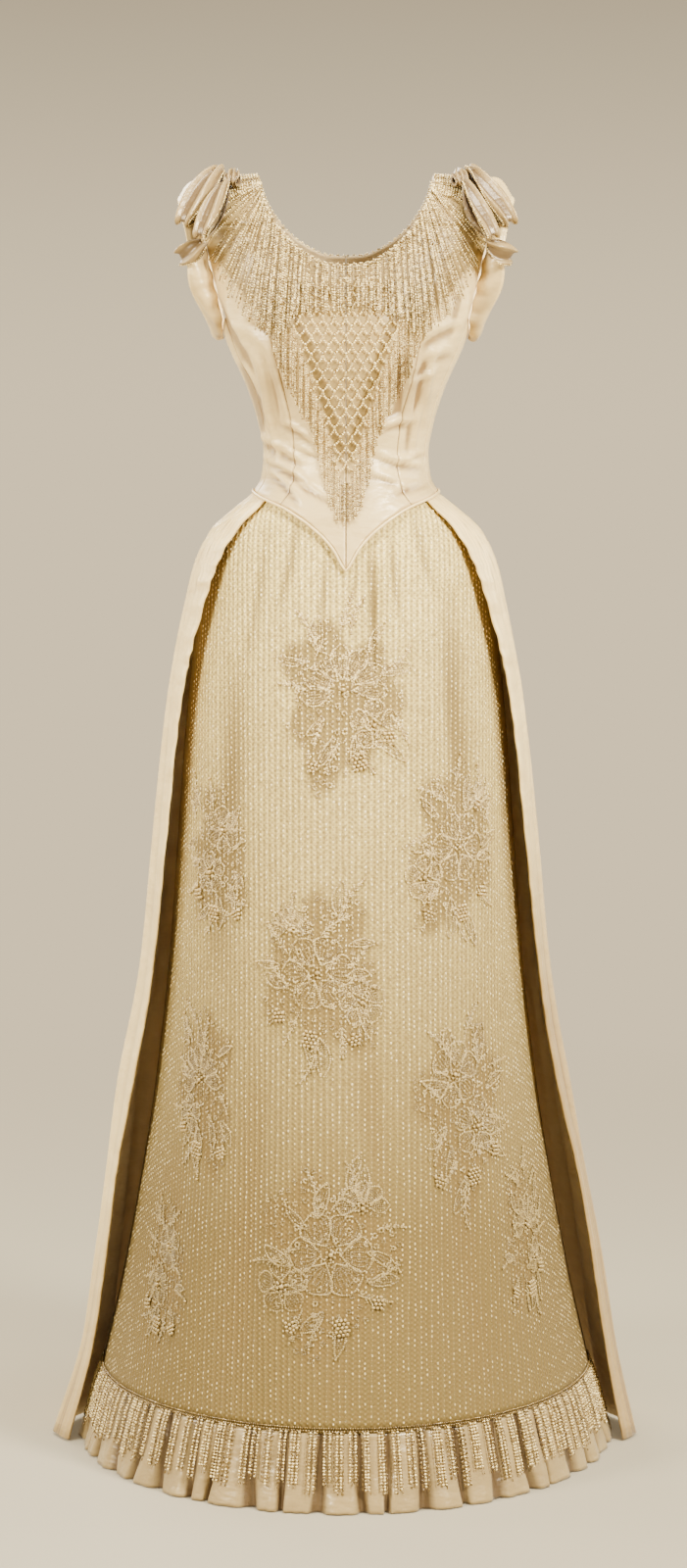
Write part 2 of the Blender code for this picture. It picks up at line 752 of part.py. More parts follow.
def neck_strands(count, share, reach, end):
    """Roots and lower ends of the strands round the neck; share lowers the front neck line to the back one."""
    tops = []
    lows = []
    for i in range(count):
        x = NECK_ROOT_HALF * (2.0 * i / (count - 1) - 1.0)
        z = min(neck_height(abs(x)) * share - ROOT_STRIP - 0.002, NECK_ROOT_HIGH)
        far = x * (reach + 0.30 * (abs(x) / NECK_ROOT_HALF) ** 3)
        tops.append((x, z))
        lows.append((far, end(abs(far))))
    return tops, lows


def yoke_fringe_front():
    """Bead fringe round the front of the neck, over the bust."""
    tops, lows = neck_strands(32, 1.0, 1.18, yoke_fringe_end)
    hung_strands("yoke_fringe_front", tops, lows, front_out, BODICE_WALL + SEAM_GAP, 0.0068)


def yoke_fringe_back():
    """The same fringe round the back of the neck."""

    def behind(x, z, out):
        return front_out(-x, z, out, 1)

    tops, lows = neck_strands(18, BACK_NECK_SHARE, 1.10, lambda x: -0.128 + 3.5 * x * x)
    hung_strands("yoke_fringe_back", tops, lows, behind, BODICE_WALL + SEAM_GAP, 0.0034)


def stomacher_fringe(side, tag):
    """Bead fringe along one edge of the V, hanging straight down over the satin."""
    count = 12
    tops = []
    lows = []
    for i in range(count):
        x = 0.0755 - 0.0680 * i / (count - 1)
        z = stomacher_height(max(0.001, x - 0.0095)) - 0.004
        tops.append((side * x, z))
        lows.append((side * x, v_fringe_end(x)))
    if side > 0:
        tops.reverse()
        lows.reverse()
    hung_strands(f"stomacher_fringe_{tag}", tops, lows, front_out, BODICE_WALL + 2 * LAYER_GAP, 0.0038)


def basque_piping():
    """A fine cord all round the basque's lower edge."""
    sides = 4
    front = [0.0, 2.0, 4.0, 6.5, 9.0, 13.0, 18.0, 25.0, 33.0]
    back = spaced(33.0, 180.0, 13)[1:]
    half = front + back
    turns = half + [-t for t in reversed(half[1:-1])]
    edge = [figure_out(turn, basque_low(turn), PIPING_OUT) for turn in turns]
    centres = []
    for i, turn in enumerate(turns):
        along = unit(edge[(i + 1) % len(edge)] - edge[i - 1])
        down = np.cross(along, normal_at(figure_point, turn, basque_low(turn), 0.4, 0.0008))
        down = down if down[2] < 0 else -down
        tip = 1.8 if turn == 0.0 else 1.0
        centres.append(edge[i] + down * (PIPING_RADIUS + SEAM_GAP) * tip)
    points = []
    faces = []
    count = len(centres)
    for i, c in enumerate(centres):
        along = unit(centres[(i + 1) % count] - centres[i - 1])
        out = unit(c - np.array([0.0, 0.0, c[2]]))
        out = unit(out - (out @ along) * along)
        up = np.cross(out, along)
        for k in range(sides):
            angle = 2.0 * math.pi * k / sides
            points.append(c + PIPING_RADIUS * (math.cos(angle) * out + math.sin(angle) * up))
    for i in range(count):
        for k in range(sides):
            a = i * sides + k
            b = i * sides + (k + 1) % sides
            c = ((i + 1) % count) * sides + (k + 1) % sides
            d = ((i + 1) % count) * sides + k
            faces.append((a, b, c, d))
    add("basque_piping", points, faces, SATIN, 0.35)


def skirt_front():
    """The front of the skirt, beaded net over satin, its side edges under the overskirt."""
    turns = [PANEL_TURN * (2.0 * i / 22 - 1.0) for i in range(23)]
    heights = HIP_HEIGHTS + PANEL_HEIGHTS
    out = -(2 * LAYER_GAP + SKIRT_WALL)
    outer = [[figure_out(t, z, out) for t in turns] for z in reversed(heights)]
    inner = [[figure_out(t, z, out - SKIRT_WALL) for t in turns] for z in reversed(heights)]
    add("skirt_front", *wall(outer, inner), NET, 0.5)


PLEAT_COLUMNS = ("share", "depth")
PLEAT = [
    (0.00, 0.0),
    (0.64, 0.0),
    (0.80, 1.0),
    (0.88, 1.0),
]


def ruffle():
    """The pleated satin frill below the net, down to the floor."""
    turns = []
    depths = []
    for n in range(RUFFLE_PLEATS):
        for share, depth in PLEAT:
            turns.append(RUFFLE_TURN * (2.0 * (n + share) / RUFFLE_PLEATS - 1.0))
            depths.append(depth)
    turns.append(RUFFLE_TURN)
    depths.append(0.0)
    low = FLOOR
    high = NET_HEM - SEAM_GAP
    back = -(2 * LAYER_GAP + SKIRT_WALL)
    rows = [(low, RUFFLE_DEPTH, RUFFLE_SPREAD), (high, 0.25 * RUFFLE_DEPTH, 0.0)]
    outer = []
    inner = []
    for z, deep, spread in rows:
        line = []
        for turn, depth in zip(turns, depths):
            fade = min(1.0, (RUFFLE_TURN - abs(turn)) / 12.0)
            away = back + spread * (0.4 + 0.6 * fade) - deep * depth * fade
            line.append(figure_out(turn, z, away))
        outer.append(line)
        inner.append(inset(line, RUFFLE_WALL))
    add("hem_ruffle", *wall(outer, inner), RUFFLE_SATIN, 0.35)


def inset(line, thick):
    """A level line moved inwards by a thickness, square to its own runs."""
    moved = []
    last = len(line) - 1
    for i, p in enumerate(line):
        normals = []
        if i > 0:
            normals.append(level_normal(line[i - 1], p))
        if i < last:
            normals.append(level_normal(p, line[i + 1]))
        n = unit(sum(normals))
        reach = thick / max(0.45, float(n @ normals[0]))
        moved.append(p + n * reach)
    return moved


def level_normal(a, b):
    run = b - a
    return unit(np.array([-run[1], run[0], 0.0]))


def hem_fringe():
    """Bead strands hanging from the net's hem in front of the frill, on a narrow strip outside the wall."""
    count = 48
    surface_out = -(2 * LAYER_GAP + SKIRT_WALL) + SEAM_GAP
    roots = []
    outward = []
    ends = []
    for i in range(count):
        turn = HEM_FRINGE_TURN * (2.0 * i / (count - 1) - 1.0)
        z = NET_HEM + 0.002
        step = turn_gap(turn, z, STRAND)
        low = z - HEM_STRAND - 0.004 * math.sin(i * 2.4)
        share = (NET_HEM - low) / (NET_HEM - FLOOR)
        hang_out = surface_out + RUFFLE_SPREAD * share + 0.0016
        ring = []
        for k in (-1, 1):
            here = turn + k * step / 2
            base = figure_point(here, z)
            n = normal_at(figure_point, here, z, 0.4, 0.0008)
            roots.append(base)
            outward.append((n * (surface_out + STRAND_DEEP), n * surface_out))
            ring.append(here)
        left, right = ring
        ends.append(
            [
                [
                    figure_out(left, low, hang_out),
                    figure_out(right, low, hang_out),
                    figure_out(right, low, hang_out + STRAND_DEEP),
                    figure_out(left, low, hang_out + STRAND_DEEP),
                ]
            ]
        )
    fringe("hem_fringe", roots, ends, outward)


def edge_turn(z):
    """The turn at which the overskirt's front edge lies, from its half width in front view."""
    half = figure["half_width"](z) + over["side"](z)
    share = min(0.999, over["edge_x"](z) / half)
    return math.degrees(math.asin(share ** (figure["square"](z) / 2.0)))


def overskirt(side, tag):
    """One side of the satin overskirt, from its front edge to the seam at the back."""
    outer = []
    inner = []
    for z in reversed(HIP_HEIGHTS + OVER_HEIGHTS):
        first = edge_turn(z)
        turns = spaced(first, 93.0, 4) + [97.0, 101.0, 106.0, 112.0, 118.0, 125.0, 132.0]
        turns.append(TRAIN_TURN - turn_gap(TRAIN_TURN, z, SEAM_GAP / 2))
        if side < 0:
            turns = [-t for t in reversed(turns)]
        outer.append([over_out(t, z, -LAYER_GAP) for t in turns])
        inner.append([over_out(t, z, -LAYER_GAP - SKIRT_WALL) for t in turns])
    add(f"overskirt_{tag}", *wall(outer, inner), SATIN)


def train():
    """The back of the overskirt, in deep soft folds from the waist into a short train."""
    outer = []
    inner = []
    for z in reversed(HIP_HEIGHTS + OVER_HEIGHTS):
        gap = turn_gap(TRAIN_TURN, z, SEAM_GAP / 2)
        turns = spaced(TRAIN_TURN + gap, 360.0 - TRAIN_TURN - gap, 14)
        turns = [t if t <= 180.0 else t - 360.0 for t in turns]
        outer.append([over_out(t, z, -LAYER_GAP) for t in turns])
        inner.append([over_out(t, z, -LAYER_GAP - SKIRT_WALL) for t in turns])
    add("train", *wall(outer, inner), SATIN)


def main():
    for obj in list(bpy.data.objects):
        bpy.data.objects.remove(obj, do_unlink=True)
    for side, tag in ((1, "l"), (-1, "r")):
        bodice(side, tag)
        shoulder(side, tag)
        sleeve(side, tag)
        bow(side, tag)
        stomacher_fringe(side, tag)
        overskirt(side, tag)
    stomacher_net()
    yoke_fringe_front()
    yoke_fringe_back()
    basque_piping()
    skirt_front()
    ruffle()
    hem_fringe()
    train()


main()
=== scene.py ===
# Evening dress: its visible pieces, the lights and the camera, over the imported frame.
# Metres, +Z up, front towards -Y, the wearer's left towards +X, origin on the shoulder line.
import math
import random

import bpy
import numpy as np
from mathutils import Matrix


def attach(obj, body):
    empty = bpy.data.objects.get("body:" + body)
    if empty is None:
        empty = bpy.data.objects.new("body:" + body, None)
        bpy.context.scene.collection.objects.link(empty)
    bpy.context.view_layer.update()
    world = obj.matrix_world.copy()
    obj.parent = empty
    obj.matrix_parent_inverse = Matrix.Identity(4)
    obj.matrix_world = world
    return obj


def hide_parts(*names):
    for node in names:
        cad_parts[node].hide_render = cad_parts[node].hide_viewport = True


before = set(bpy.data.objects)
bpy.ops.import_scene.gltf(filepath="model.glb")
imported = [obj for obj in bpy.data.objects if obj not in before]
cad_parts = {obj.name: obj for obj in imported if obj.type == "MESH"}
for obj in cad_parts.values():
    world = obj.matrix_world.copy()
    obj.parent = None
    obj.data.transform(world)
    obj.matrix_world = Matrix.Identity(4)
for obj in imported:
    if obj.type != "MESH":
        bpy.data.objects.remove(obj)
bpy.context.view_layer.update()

# Sizes that the solids were made with
SEAM_GAP = 0.0004
LAYER_GAP = 0.0008
BODICE_WALL = 0.0016
SKIRT_WALL = 0.0015
FLOOR = -1.38
NET_HEM = -1.298
YOKE_SEAM = -0.050
SHOULDER_ROUND = 0.050
STRAP_OUTER = 0.1497
STRAP_SWING = 88.0
ARMHOLE_TURN = 70.0
ARMHOLE_LOW = -0.146
ARMHOLE_DIP = 0.019
PRINCESS_TURN = 35.0
SIDE_BACK_TURN = 145.0
PANEL_TURN = 124.0
TRAIN_TURN = 140.0
BAND_TURN = 101.0
BAND_GROOVE = 7.0
BACK_FOLD_PITCH = 24.0
BACK_FOLDS_START = 106.0
BACK_FOLDS_REACH = 24.0
RUFFLE_PLEATS = 29
RUFFLE_TURN = 112.0
PIPING_RADIUS = 0.0014
PIPING_OUT = 0.0024
BACK_NECK_SHARE = 0.86
SKIRT_TOP = -0.302
SIDES = (("l", 1), ("r", -1))

# The figure inside the bodice and the front skirt
FIGURE_COLUMNS = ("height", "half_width", "front", "back", "widest", "square")
FIGURE = [
    (0.01, 0.154, -0.056, 0.06, 0.0, 2.3), (-0.03, 0.16, -0.074, 0.074, 0.0, 2.3),
    (-0.06, 0.157, -0.089, 0.083, 0.0, 2.3), (-0.09, 0.15, -0.101, 0.09, 0.0, 2.3),
    (-0.12, 0.142, -0.111, 0.095, 0.0, 2.3), (-0.15, 0.1335, -0.116, 0.097, 0.0, 2.3),
    (-0.18, 0.122, -0.115, 0.094, 0.0, 2.3), (-0.22, 0.104, -0.107, 0.087, 0.0, 2.3),
    (-0.26, 0.0915, -0.097, 0.08, 0.0, 2.3), (-0.29, 0.0865, -0.091, 0.078, 0.0, 2.3),
    (-0.315, 0.089, -0.094, 0.082, 0.0, 2.3), (-0.33, 0.097, -0.099, 0.091, 0.0, 2.3),
    (-0.345, 0.115, -0.103, 0.102, 0.0, 2.25), (-0.37, 0.139, -0.11, 0.118, 0.0, 2.2),
    (-0.41, 0.154, -0.121, 0.135, 0.002, 2.1), (-0.45, 0.161, -0.129, 0.147, 0.005, 2.0),
    (-0.55, 0.173, -0.144, 0.165, 0.015, 2.0), (-0.7, 0.185, -0.166, 0.185, 0.035, 2.0),
    (-0.83, 0.195, -0.186, 0.2, 0.055, 2.0), (-0.98, 0.2125, -0.208, 0.22, 0.08, 2.0),
    (-1.07, 0.2265, -0.221, 0.24, 0.092, 2.0), (-1.19, 0.249, -0.238, 0.265, 0.108, 2.0),
    (-1.3, 0.274, -0.253, 0.29, 0.118, 2.0), (-1.385, 0.292, -0.263, 0.31, 0.122, 2.0),
]

# The overskirt: how far it stands off the front skirt, its front edge in front view, and its folds
OVER_COLUMNS = ("height", "side", "front", "back", "widest", "edge_x", "fold")
OVER = [
    (-0.3, 0.0, 0.0, 0.0, 0.0, 0.06, 0.0),
    (-0.345, 0.0, 0.0, 0.0, 0.0, 0.091, 0.0),
    (-0.37, 0.0045, 0.0025, 0.004, 0.0, 0.115, 0.001),
    (-0.41, 0.01, 0.004, 0.009, -0.002, 0.137, 0.002),
    (-0.45, 0.0125, 0.006, 0.013, -0.002, 0.15, 0.004),
    (-0.5, 0.016, 0.003, 0.015, -0.002, 0.164, 0.005),
    (-0.55, 0.019, -0.004, 0.017, -0.002, 0.174, 0.006),
    (-0.7, 0.024, -0.016, 0.023, 0.0, 0.191, 0.009),
    (-0.83, 0.027, -0.041, 0.038, 0.0, 0.205, 0.012),
    (-0.98, 0.033, -0.088, 0.066, -0.002, 0.227, 0.015),
    (-1.07, 0.03, -0.126, 0.088, -0.004, 0.243, 0.018),
    (-1.19, 0.025, -0.173, 0.14, -0.01, 0.259, 0.022),
    (-1.3, 0.018, -0.233, 0.218, -0.012, 0.277, 0.026),
    (-1.38, 0.02, -0.267, 0.331, -0.01, 0.294, 0.03),
]

# The neck opening, the basque's lower edge, the V of the front, and where the bead fringes end
NECK_COLUMNS = ("half_width", "height")
NECK = [
    (0.0, -0.0925), (0.02, -0.0905), (0.0385, -0.082), (0.06, -0.064), (0.0785, -0.0385),
    (0.0885, -0.0155), (0.092, 0.003),
]
BASQUE_COLUMNS = ("turn", "height")
BASQUE = [
    (0.0, -0.409), (4.0, -0.387), (9.0, -0.372), (18.0, -0.357), (33.0, -0.344), (55.0, -0.336),
    (76.0, -0.331), (90.0, -0.329), (120.0, -0.332), (150.0, -0.342), (180.0, -0.352),
]
STOMACHER_COLUMNS = ("height", "half_width")
STOMACHER = [
    (-0.11, 0.068), (-0.14, 0.058), (-0.19, 0.039), (-0.23, 0.026), (-0.268, 0.015), (-0.318, 0.001),
]
V_FRINGE_COLUMNS = ("half_width", "height")
V_FRINGE = [
    (0.002, -0.362), (0.011, -0.356), (0.0235, -0.323), (0.035, -0.272), (0.049, -0.24),
    (0.065, -0.208), (0.076, -0.175),
]
YOKE_FRINGE_COLUMNS = ("half_width", "height")
YOKE_FRINGE = [
    (0.0, -0.14), (0.05, -0.143), (0.07, -0.168), (0.085, -0.159), (0.1, -0.145), (0.12, -0.121),
    (0.138, -0.096),
]

# Drag lines and soft creases of the satin in front view; each side has its own.
# A row gives x and z of both ends, then bend, width and height
BODICE_CREASES = [
    (-0.095, -0.27, -0.04, -0.3, 0.004, 0.006, 0.0014),
    (-0.088, -0.292, -0.03, -0.325, 0.003, 0.0045, 0.0012),
    (-0.06, -0.276, -0.018, -0.29, -0.002, 0.0035, 0.0009),
    (-0.052, -0.318, -0.014, -0.338, 0.002, 0.004, 0.0009),
    (-0.1, -0.17, -0.078, -0.275, 0.006, 0.0085, 0.0022),
    (-0.082, -0.18, -0.062, -0.262, 0.004, 0.006, 0.0014),
    (-0.126, -0.12, -0.095, -0.186, -0.004, 0.006, 0.0016),
    (-0.118, -0.15, -0.074, -0.19, 0.004, 0.007, 0.0014),
    (-0.108, -0.142, -0.06, -0.168, 0.003, 0.005, 0.0012),
    (0.022, -0.262, 0.078, -0.252, 0.003, 0.005, 0.0013),
    (0.026, -0.284, 0.086, -0.3, -0.003, 0.005, 0.0013),
    (0.018, -0.304, 0.07, -0.326, 0.002, 0.0045, 0.001),
    (0.04, -0.33, 0.088, -0.318, 0.002, 0.0045, 0.0008),
    (0.074, -0.18, 0.066, -0.264, -0.004, 0.008, 0.002),
    (0.094, -0.176, 0.082, -0.262, -0.004, 0.006, 0.0016),
    (0.072, -0.172, 0.118, -0.15, 0.004, 0.007, 0.0016),
    (0.078, -0.19, 0.112, -0.178, 0.003, 0.006, 0.0012),
    (0.128, -0.112, 0.112, -0.17, 0.003, 0.006, 0.0014),
    (-0.016, -0.352, 0.014, -0.356, 0.001, 0.004, 0.0007),
    (-0.086, -0.222, -0.07, -0.3, 0.003, 0.0042, 0.0016),
    (-0.07, -0.252, -0.03, -0.276, 0.002, 0.004, 0.0012),
    (-0.08, -0.306, -0.044, -0.342, 0.003, 0.004, 0.0012),
    (-0.108, -0.19, -0.088, -0.236, 0.002, 0.0044, 0.0014),
    (0.084, -0.214, 0.068, -0.296, -0.003, 0.0042, 0.0016),
    (0.058, -0.246, 0.03, -0.262, 0.002, 0.004, 0.0012),
    (0.098, -0.196, 0.062, -0.214, 0.002, 0.0042, 0.0012),
    (0.05, -0.3, 0.084, -0.286, 0.002, 0.004, 0.0012),
]
BACK_CREASES = [
    (-0.088, -0.268, -0.02, -0.286, 0.003, 0.006, 0.0014),
    (-0.07, -0.3, -0.012, -0.312, -0.003, 0.005, 0.0012),
    (0.016, -0.272, 0.084, -0.258, 0.003, 0.006, 0.0014),
    (0.012, -0.304, 0.066, -0.294, 0.002, 0.005, 0.0011),
    (-0.096, -0.15, -0.066, -0.24, 0.006, 0.009, 0.002),
    (0.062, -0.14, 0.086, -0.236, -0.005, 0.009, 0.002),
    (-0.04, -0.11, -0.03, -0.2, 0.004, 0.01, 0.0014),
    (0.03, -0.12, 0.036, -0.21, -0.004, 0.009, 0.0014),
]


def smooth(xs, ys):
    """A smooth curve through points that never overshoots them, as a function of an array."""
    order = np.argsort(xs)
    x = np.array(xs, float)[order]
    y = np.array(ys, float)[order]
    step = np.diff(x)
    rise = np.diff(y) / step
    slope = np.concatenate([rise[:1], np.zeros(len(x) - 2), rise[-1:]])
    for i in range(1, len(x) - 1):
        if rise[i - 1] * rise[i] > 0:
            w1 = 2 * step[i] + step[i - 1]
            w2 = step[i] + 2 * step[i - 1]
            slope[i] = (w1 + w2) / (w1 / rise[i - 1] + w2 / rise[i])

    def value(at):
        at = np.clip(at, x[0], x[-1])
        i = np.clip(np.searchsorted(x, at, side="right") - 1, 0, len(step) - 1)
        t = (at - x[i]) / step[i]
        low = (1 + 2 * t) * (1 - t) ** 2 * y[i] + t * (1 - t) ** 2 * step[i] * slope[i]
        return low + t * t * (3 - 2 * t) * y[i + 1] + t * t * (t - 1) * step[i] * slope[i + 1]

    return value


def curves(table, columns, key=0):
    """One smooth curve for each column of a table, over its key column."""
    rows = list(zip(*table))
    return {name: smooth(rows[key], rows[i]) for i, name in enumerate(columns) if i != key}


figure = curves(FIGURE, FIGURE_COLUMNS)
over = curves(OVER, OVER_COLUMNS)
neck_height = curves(NECK, NECK_COLUMNS)["height"]
neck_half = curves(NECK, NECK_COLUMNS, 1)["half_width"]
basque_height = curves(BASQUE, BASQUE_COLUMNS)["height"]
stomacher_half = curves(STOMACHER, STOMACHER_COLUMNS)["half_width"]
stomacher_height = curves(STOMACHER, STOMACHER_COLUMNS, 1)["height"]
v_fringe_end = curves(V_FRINGE, V_FRINGE_COLUMNS)["height"]
yoke_fringe_end = curves(YOKE_FRINGE, YOKE_FRINGE_COLUMNS)["height"]
MIRROR = {1: np.array([1.0, 1.0, 1.0]), -1: np.array([-1.0, 1.0, 1.0])}
UP = np.array([0.0, 0.0, 1.0])


def stack(x, y, z):
    """Points from their three coordinates."""
    return np.stack(np.broadcast_arrays(x, y, z), axis=-1).astype(float)


def unit(v):
    """Directions of vectors."""
    v = np.asarray(v, float)
    return v / np.maximum(1e-12, np.linalg.norm(v, axis=-1, keepdims=True))


def ramp(value, reach=1.0):
    """The share of its reach that a value has gone, from nothing to all."""
    return np.clip(value / reach, 0.0, 1.0)


def hump(value, width):
    """A soft hump, one in its middle."""
    return np.exp(-((value / width) ** 2))


def around(count):
    """Angles all round."""
    return 2.0 * math.pi * np.arange(count) / count


def run_of(path):
    """How far along a path each of its points lies."""
    steps = np.linalg.norm(np.diff(path, axis=-2), axis=-1)
    return np.concatenate([np.zeros(steps.shape[:-1] + (1,)), np.cumsum(steps, axis=-1)], -1)


def ridge(x):
    """Height of the shoulder line."""
    return 0.003 - 0.1 * np.maximum(0.0, np.abs(x) - 0.09)


def oval(turn, half, front, back, widest, square):
    """Places of a rounded section, by the turn from centre front in degrees."""
    power = 2.0 / square
    s = np.sin(np.radians(turn))
    c = np.cos(np.radians(turn))
    depth = np.where(c > 0, widest - front, back - widest)
    x = half * np.sign(s) * np.abs(s) ** power
    return x, widest - depth * np.sign(c) * np.abs(c) ** power


def figure_point(turn, z):
    """The figure's surface, which the bodice and the front skirt follow."""
    x, y = oval(turn, *(figure[n](z) for n in FIGURE_COLUMNS[1:]))
    under = ramp(ridge(x) - z, SHOULDER_ROUND)
    return stack(x, y * np.sqrt(1.0 - (1.0 - under) ** 2), z)


def turn_at(x, z):
    """The turn of a place given in front view."""
    share = np.minimum(0.9999, np.abs(x) / figure["half_width"](z))
    return np.sign(x) * np.degrees(np.arcsin(share ** (figure["square"](z) / 2.0)))


def front_point(x, z):
    """The figure's front, at places given in front view."""
    return figure_point(turn_at(x, z), z)


def back_point(x, z):
    """The figure's back, at places given in front view."""
    turn = turn_at(x, z)
    return figure_point(np.where(turn < 0, -180.0, 180.0) - turn, z)


def over_point(turn, z):
    """The overskirt's outer surface, with its folds."""
    side = np.abs(turn)
    half = figure["half_width"](z) + over["side"](z)
    front = figure["front"](z) - over["front"](z)
    back = figure["back"](z) + over["back"](z)
    centre = figure["widest"](z) + over["widest"](z)
    x, y = oval(side, half, front, back, centre, figure["square"](z))
    fold = over["fold"](z)
    groove = -0.9 * fold * hump(side - BAND_TURN, BAND_GROOVE)
    share = ramp(side - BACK_FOLDS_START, BACK_FOLDS_REACH)
    pleats = fold * share * (0.5 * np.cos(np.radians(180.0 - side) * 360.0 / BACK_FOLD_PITCH) - 0.3)
    reach = np.hypot(x, y - centre)
    grow = 1.0 + (groove + pleats) / reach
    sign = np.where(np.asarray(turn) < 0, -1.0, 1.0)
    return stack(sign * x * grow, centre + (y - centre) * grow, z)


def normals(point, u, v, du=0.4, dv=0.0008):
    """Outward directions of a surface given as a function of two values."""
    along = point(u + du, v) - point(u - du, v)
    up = point(u, v + dv) - point(u, v - dv)
    return unit(np.cross(along, up))


def out_of(point, u, v, out, du=0.4, dv=0.0008, sign=1.0):
    """Places at a distance outside a surface."""
    return point(u, v) + np.asarray(out)[..., None] * normals(point, u, v, du, dv) * sign


def figure_out(turn, z, out):
    return out_of(figure_point, turn, z, out)


def front_out(x, z, out):
    return out_of(front_point, x, z, out, 0.0006, 0.0006)


def back_out(x, z, out):
    return out_of(back_point, x, z, out, 0.0006, 0.0006, -1.0)


def creased(x, z, table, fine=1.0):
    """Height of the creases at places in front view: a soft ridge with a shallow valley on one side."""
    height = np.zeros(np.broadcast(x, z).shape)
    for from_x, from_z, to_x, to_z, bend, width, tall in table:
        run = np.array([to_x - from_x, to_z - from_z])
        length = np.hypot(*run)
        width = width * fine
        along = ((x - from_x) * run[0] + (z - from_z) * run[1]) / length**2
        bow = ramp(1.0 - (2.0 * along - 1.0) ** 2)
        side = ((x - from_x) * run[1] - (z - from_z) * run[0]) / length + bend * bow
        shape = hump(side, width) - 0.55 * hump(side - 1.7 * width, width)
        height += tall * bow * shape
    return height


# Materials


SPECULAR_TINT = (1.0, 0.86, 0.62, 1.0)
SHEEN_TINT = (1.0, 0.93, 0.80, 1.0)
COAT_ROUGHNESS = 0.12
# Shares of the satin's colour in its soft patches of painted shade, which stand in for its changing sheen
SHEEN_SHADE_SHARES = (0.62, 0.56, 0.46)
SATIN_GRAIN = 21.0
THREAD_GRAIN = 900.0
BEAD_GRAIN = 330.0
ROW_PITCH = 0.0068
ROW_BEAD_PITCH = 0.0052


def colour_socket(sockets, name=None):
    """The colour socket of a mix node, whose other kinds have the same names."""
    return [s for s in sockets if s.type == "RGBA" and name in (None, s.name)][0]


class Look:
    """A material in the making, with the values that are the same all over set on its shader."""

    def __init__(self, name, roughness, specular=0.5, sheen=0.0, coat=0.0, metallic=0.0):
        self.material = bpy.data.materials.new(name)
        self.material.use_nodes = True
        self.nodes = self.material.node_tree.nodes
        self.link = self.material.node_tree.links.new
        self.shader = self.nodes["Principled BSDF"]
        for name, value in (
            ("Roughness", roughness),
            ("Specular IOR Level", specular),
            ("Specular Tint", SPECULAR_TINT),
            ("Sheen Weight", sheen),
            ("Sheen Tint", SHEEN_TINT),
            ("Coat Weight", coat),
            ("Coat Roughness", COAT_ROUGHNESS),
            ("Metallic", metallic),
        ):
            self.shader.inputs[name].default_value = value

    def node(self, kind, *sources, **values):
        """A node with its settings, and its first sockets linked to the sources."""
        made = self.nodes.new("ShaderNode" + kind)
        for key, value in values.items():
            if key in made.inputs:
                made.inputs[key].default_value = value
            else:
                setattr(made, key, value)
        for socket, source in zip(made.inputs, sources):
            self.link(source, socket)
        return made

    def mixed(self, factor, low, high):
        """A colour mix; low and high are colours or sockets."""
        mix = self.node("Mix", factor, data_type="RGBA")
        for name, value in (("A", low), ("B", high)):
            socket = colour_socket(mix.inputs, name)
            if hasattr(value, "links"):
                self.link(value, socket)
            else:
                socket.default_value = (*value, 1.0)
        return colour_socket(mix.outputs)

    def ranged(self, value, low, high, to_low=0.0, to_high=1.0):
        """A value moved from one range to another."""
        limits = {"From Min": low, "From Max": high, "To Min": to_low, "To Max": to_high}
        return self.node("MapRange", value, **limits).outputs["Result"]

    def noise(self, where, scale, detail, rough=0.5):
        return self.node("TexNoise", where, Scale=scale, Detail=detail, Roughness=rough).outputs["Fac"]

    def place(self):
        return self.node("TexCoord").outputs["Object"]

    def stretched(self, where, tall):
        """Places with their height scaled."""
        return self.node("Mapping", where, Scale=(1.0, 1.0, tall)).outputs["Vector"]

    def marked(self, name):
        """A value that the piece carries at its points."""
        return self.node("Attribute", attribute_name=name).outputs["Fac"]

    def bump(self, height, strength, distance, under=None):
        """A bump, over another one if that is given."""
        made = self.node("Bump", Strength=strength, Distance=distance)
        self.link(height, made.inputs["Height"])
        if under is not None:
            self.link(under, made.inputs["Normal"])
        return made.outputs["Normal"]

    def finish(self, colour, roughness=None, normal=None):
        """Links what changes over the piece to the shader."""
        for name, value in (("Base Color", colour), ("Roughness", roughness), ("Normal", normal)):
            if value is not None:
                self.link(value, self.shader.inputs[name])
        return self.material


def satin(name, colour, deep, roughness=0.34, underbead_tone=None):
    """Silk satin: fine threads, soft patches of painted shade that stand in for its changing sheen, painted
    shade where the piece is marked as in shade, and, if a tone is given, the painted shade of the beadwork
    over it.
    """
    look = Look(name, roughness, 0.8, 0.12)
    where = look.place()
    rumple = look.noise(look.stretched(where, 2.2), SATIN_GRAIN, 3.0, 0.55)
    # Soft patches of painted shade, standing in for the satin's changing sheen
    sheen_shade = [c * f for c, f in zip(colour, SHEEN_SHADE_SHARES)]
    tone = look.mixed(look.ranged(rumple, 0.40, 0.66, 0.0, 0.30), colour, sheen_shade)
    tone = look.mixed(look.marked("shade"), tone, deep)
    if underbead_tone:
        # Painted shade of the beadwork over the satin, where the piece is marked
        tone = look.mixed(look.marked("ground"), tone, underbead_tone)
    fine = look.noise(look.stretched(where, 0.12), THREAD_GRAIN, 2.0)
    gloss = look.ranged(fine, 0.3, 0.7, roughness - 0.05, roughness + 0.07)
    normal = look.bump(rumple, 0.5, -0.007, look.bump(fine, 0.12, 0.0003))
    return look.finish(tone, gloss, normal)


def bead(name, colour, other, roughness, metallic=0.0, coat=0.3, low=None):
    """Small beads: each a slightly different tone; low is the tone that they turn to towards the hem, a
    painted shade standing in for the light from above.
    """
    look = Look(name, roughness, 0.6, 0.0, coat, metallic)
    where = look.place()
    spots = look.noise(where, BEAD_GRAIN, 1.0)
    tone = look.mixed(look.ranged(spots, 0.38, 0.62), colour, other)
    if low:
        # Painted shade towards the hem
        height = look.node("SeparateXYZ", where).outputs["Z"]
        tone = look.mixed(look.ranged(height, -1.2, -0.42), low, tone)
    gloss = look.ranged(spots, 0.3, 0.7, roughness * 0.8, roughness * 1.4)
    return look.finish(tone, gloss)


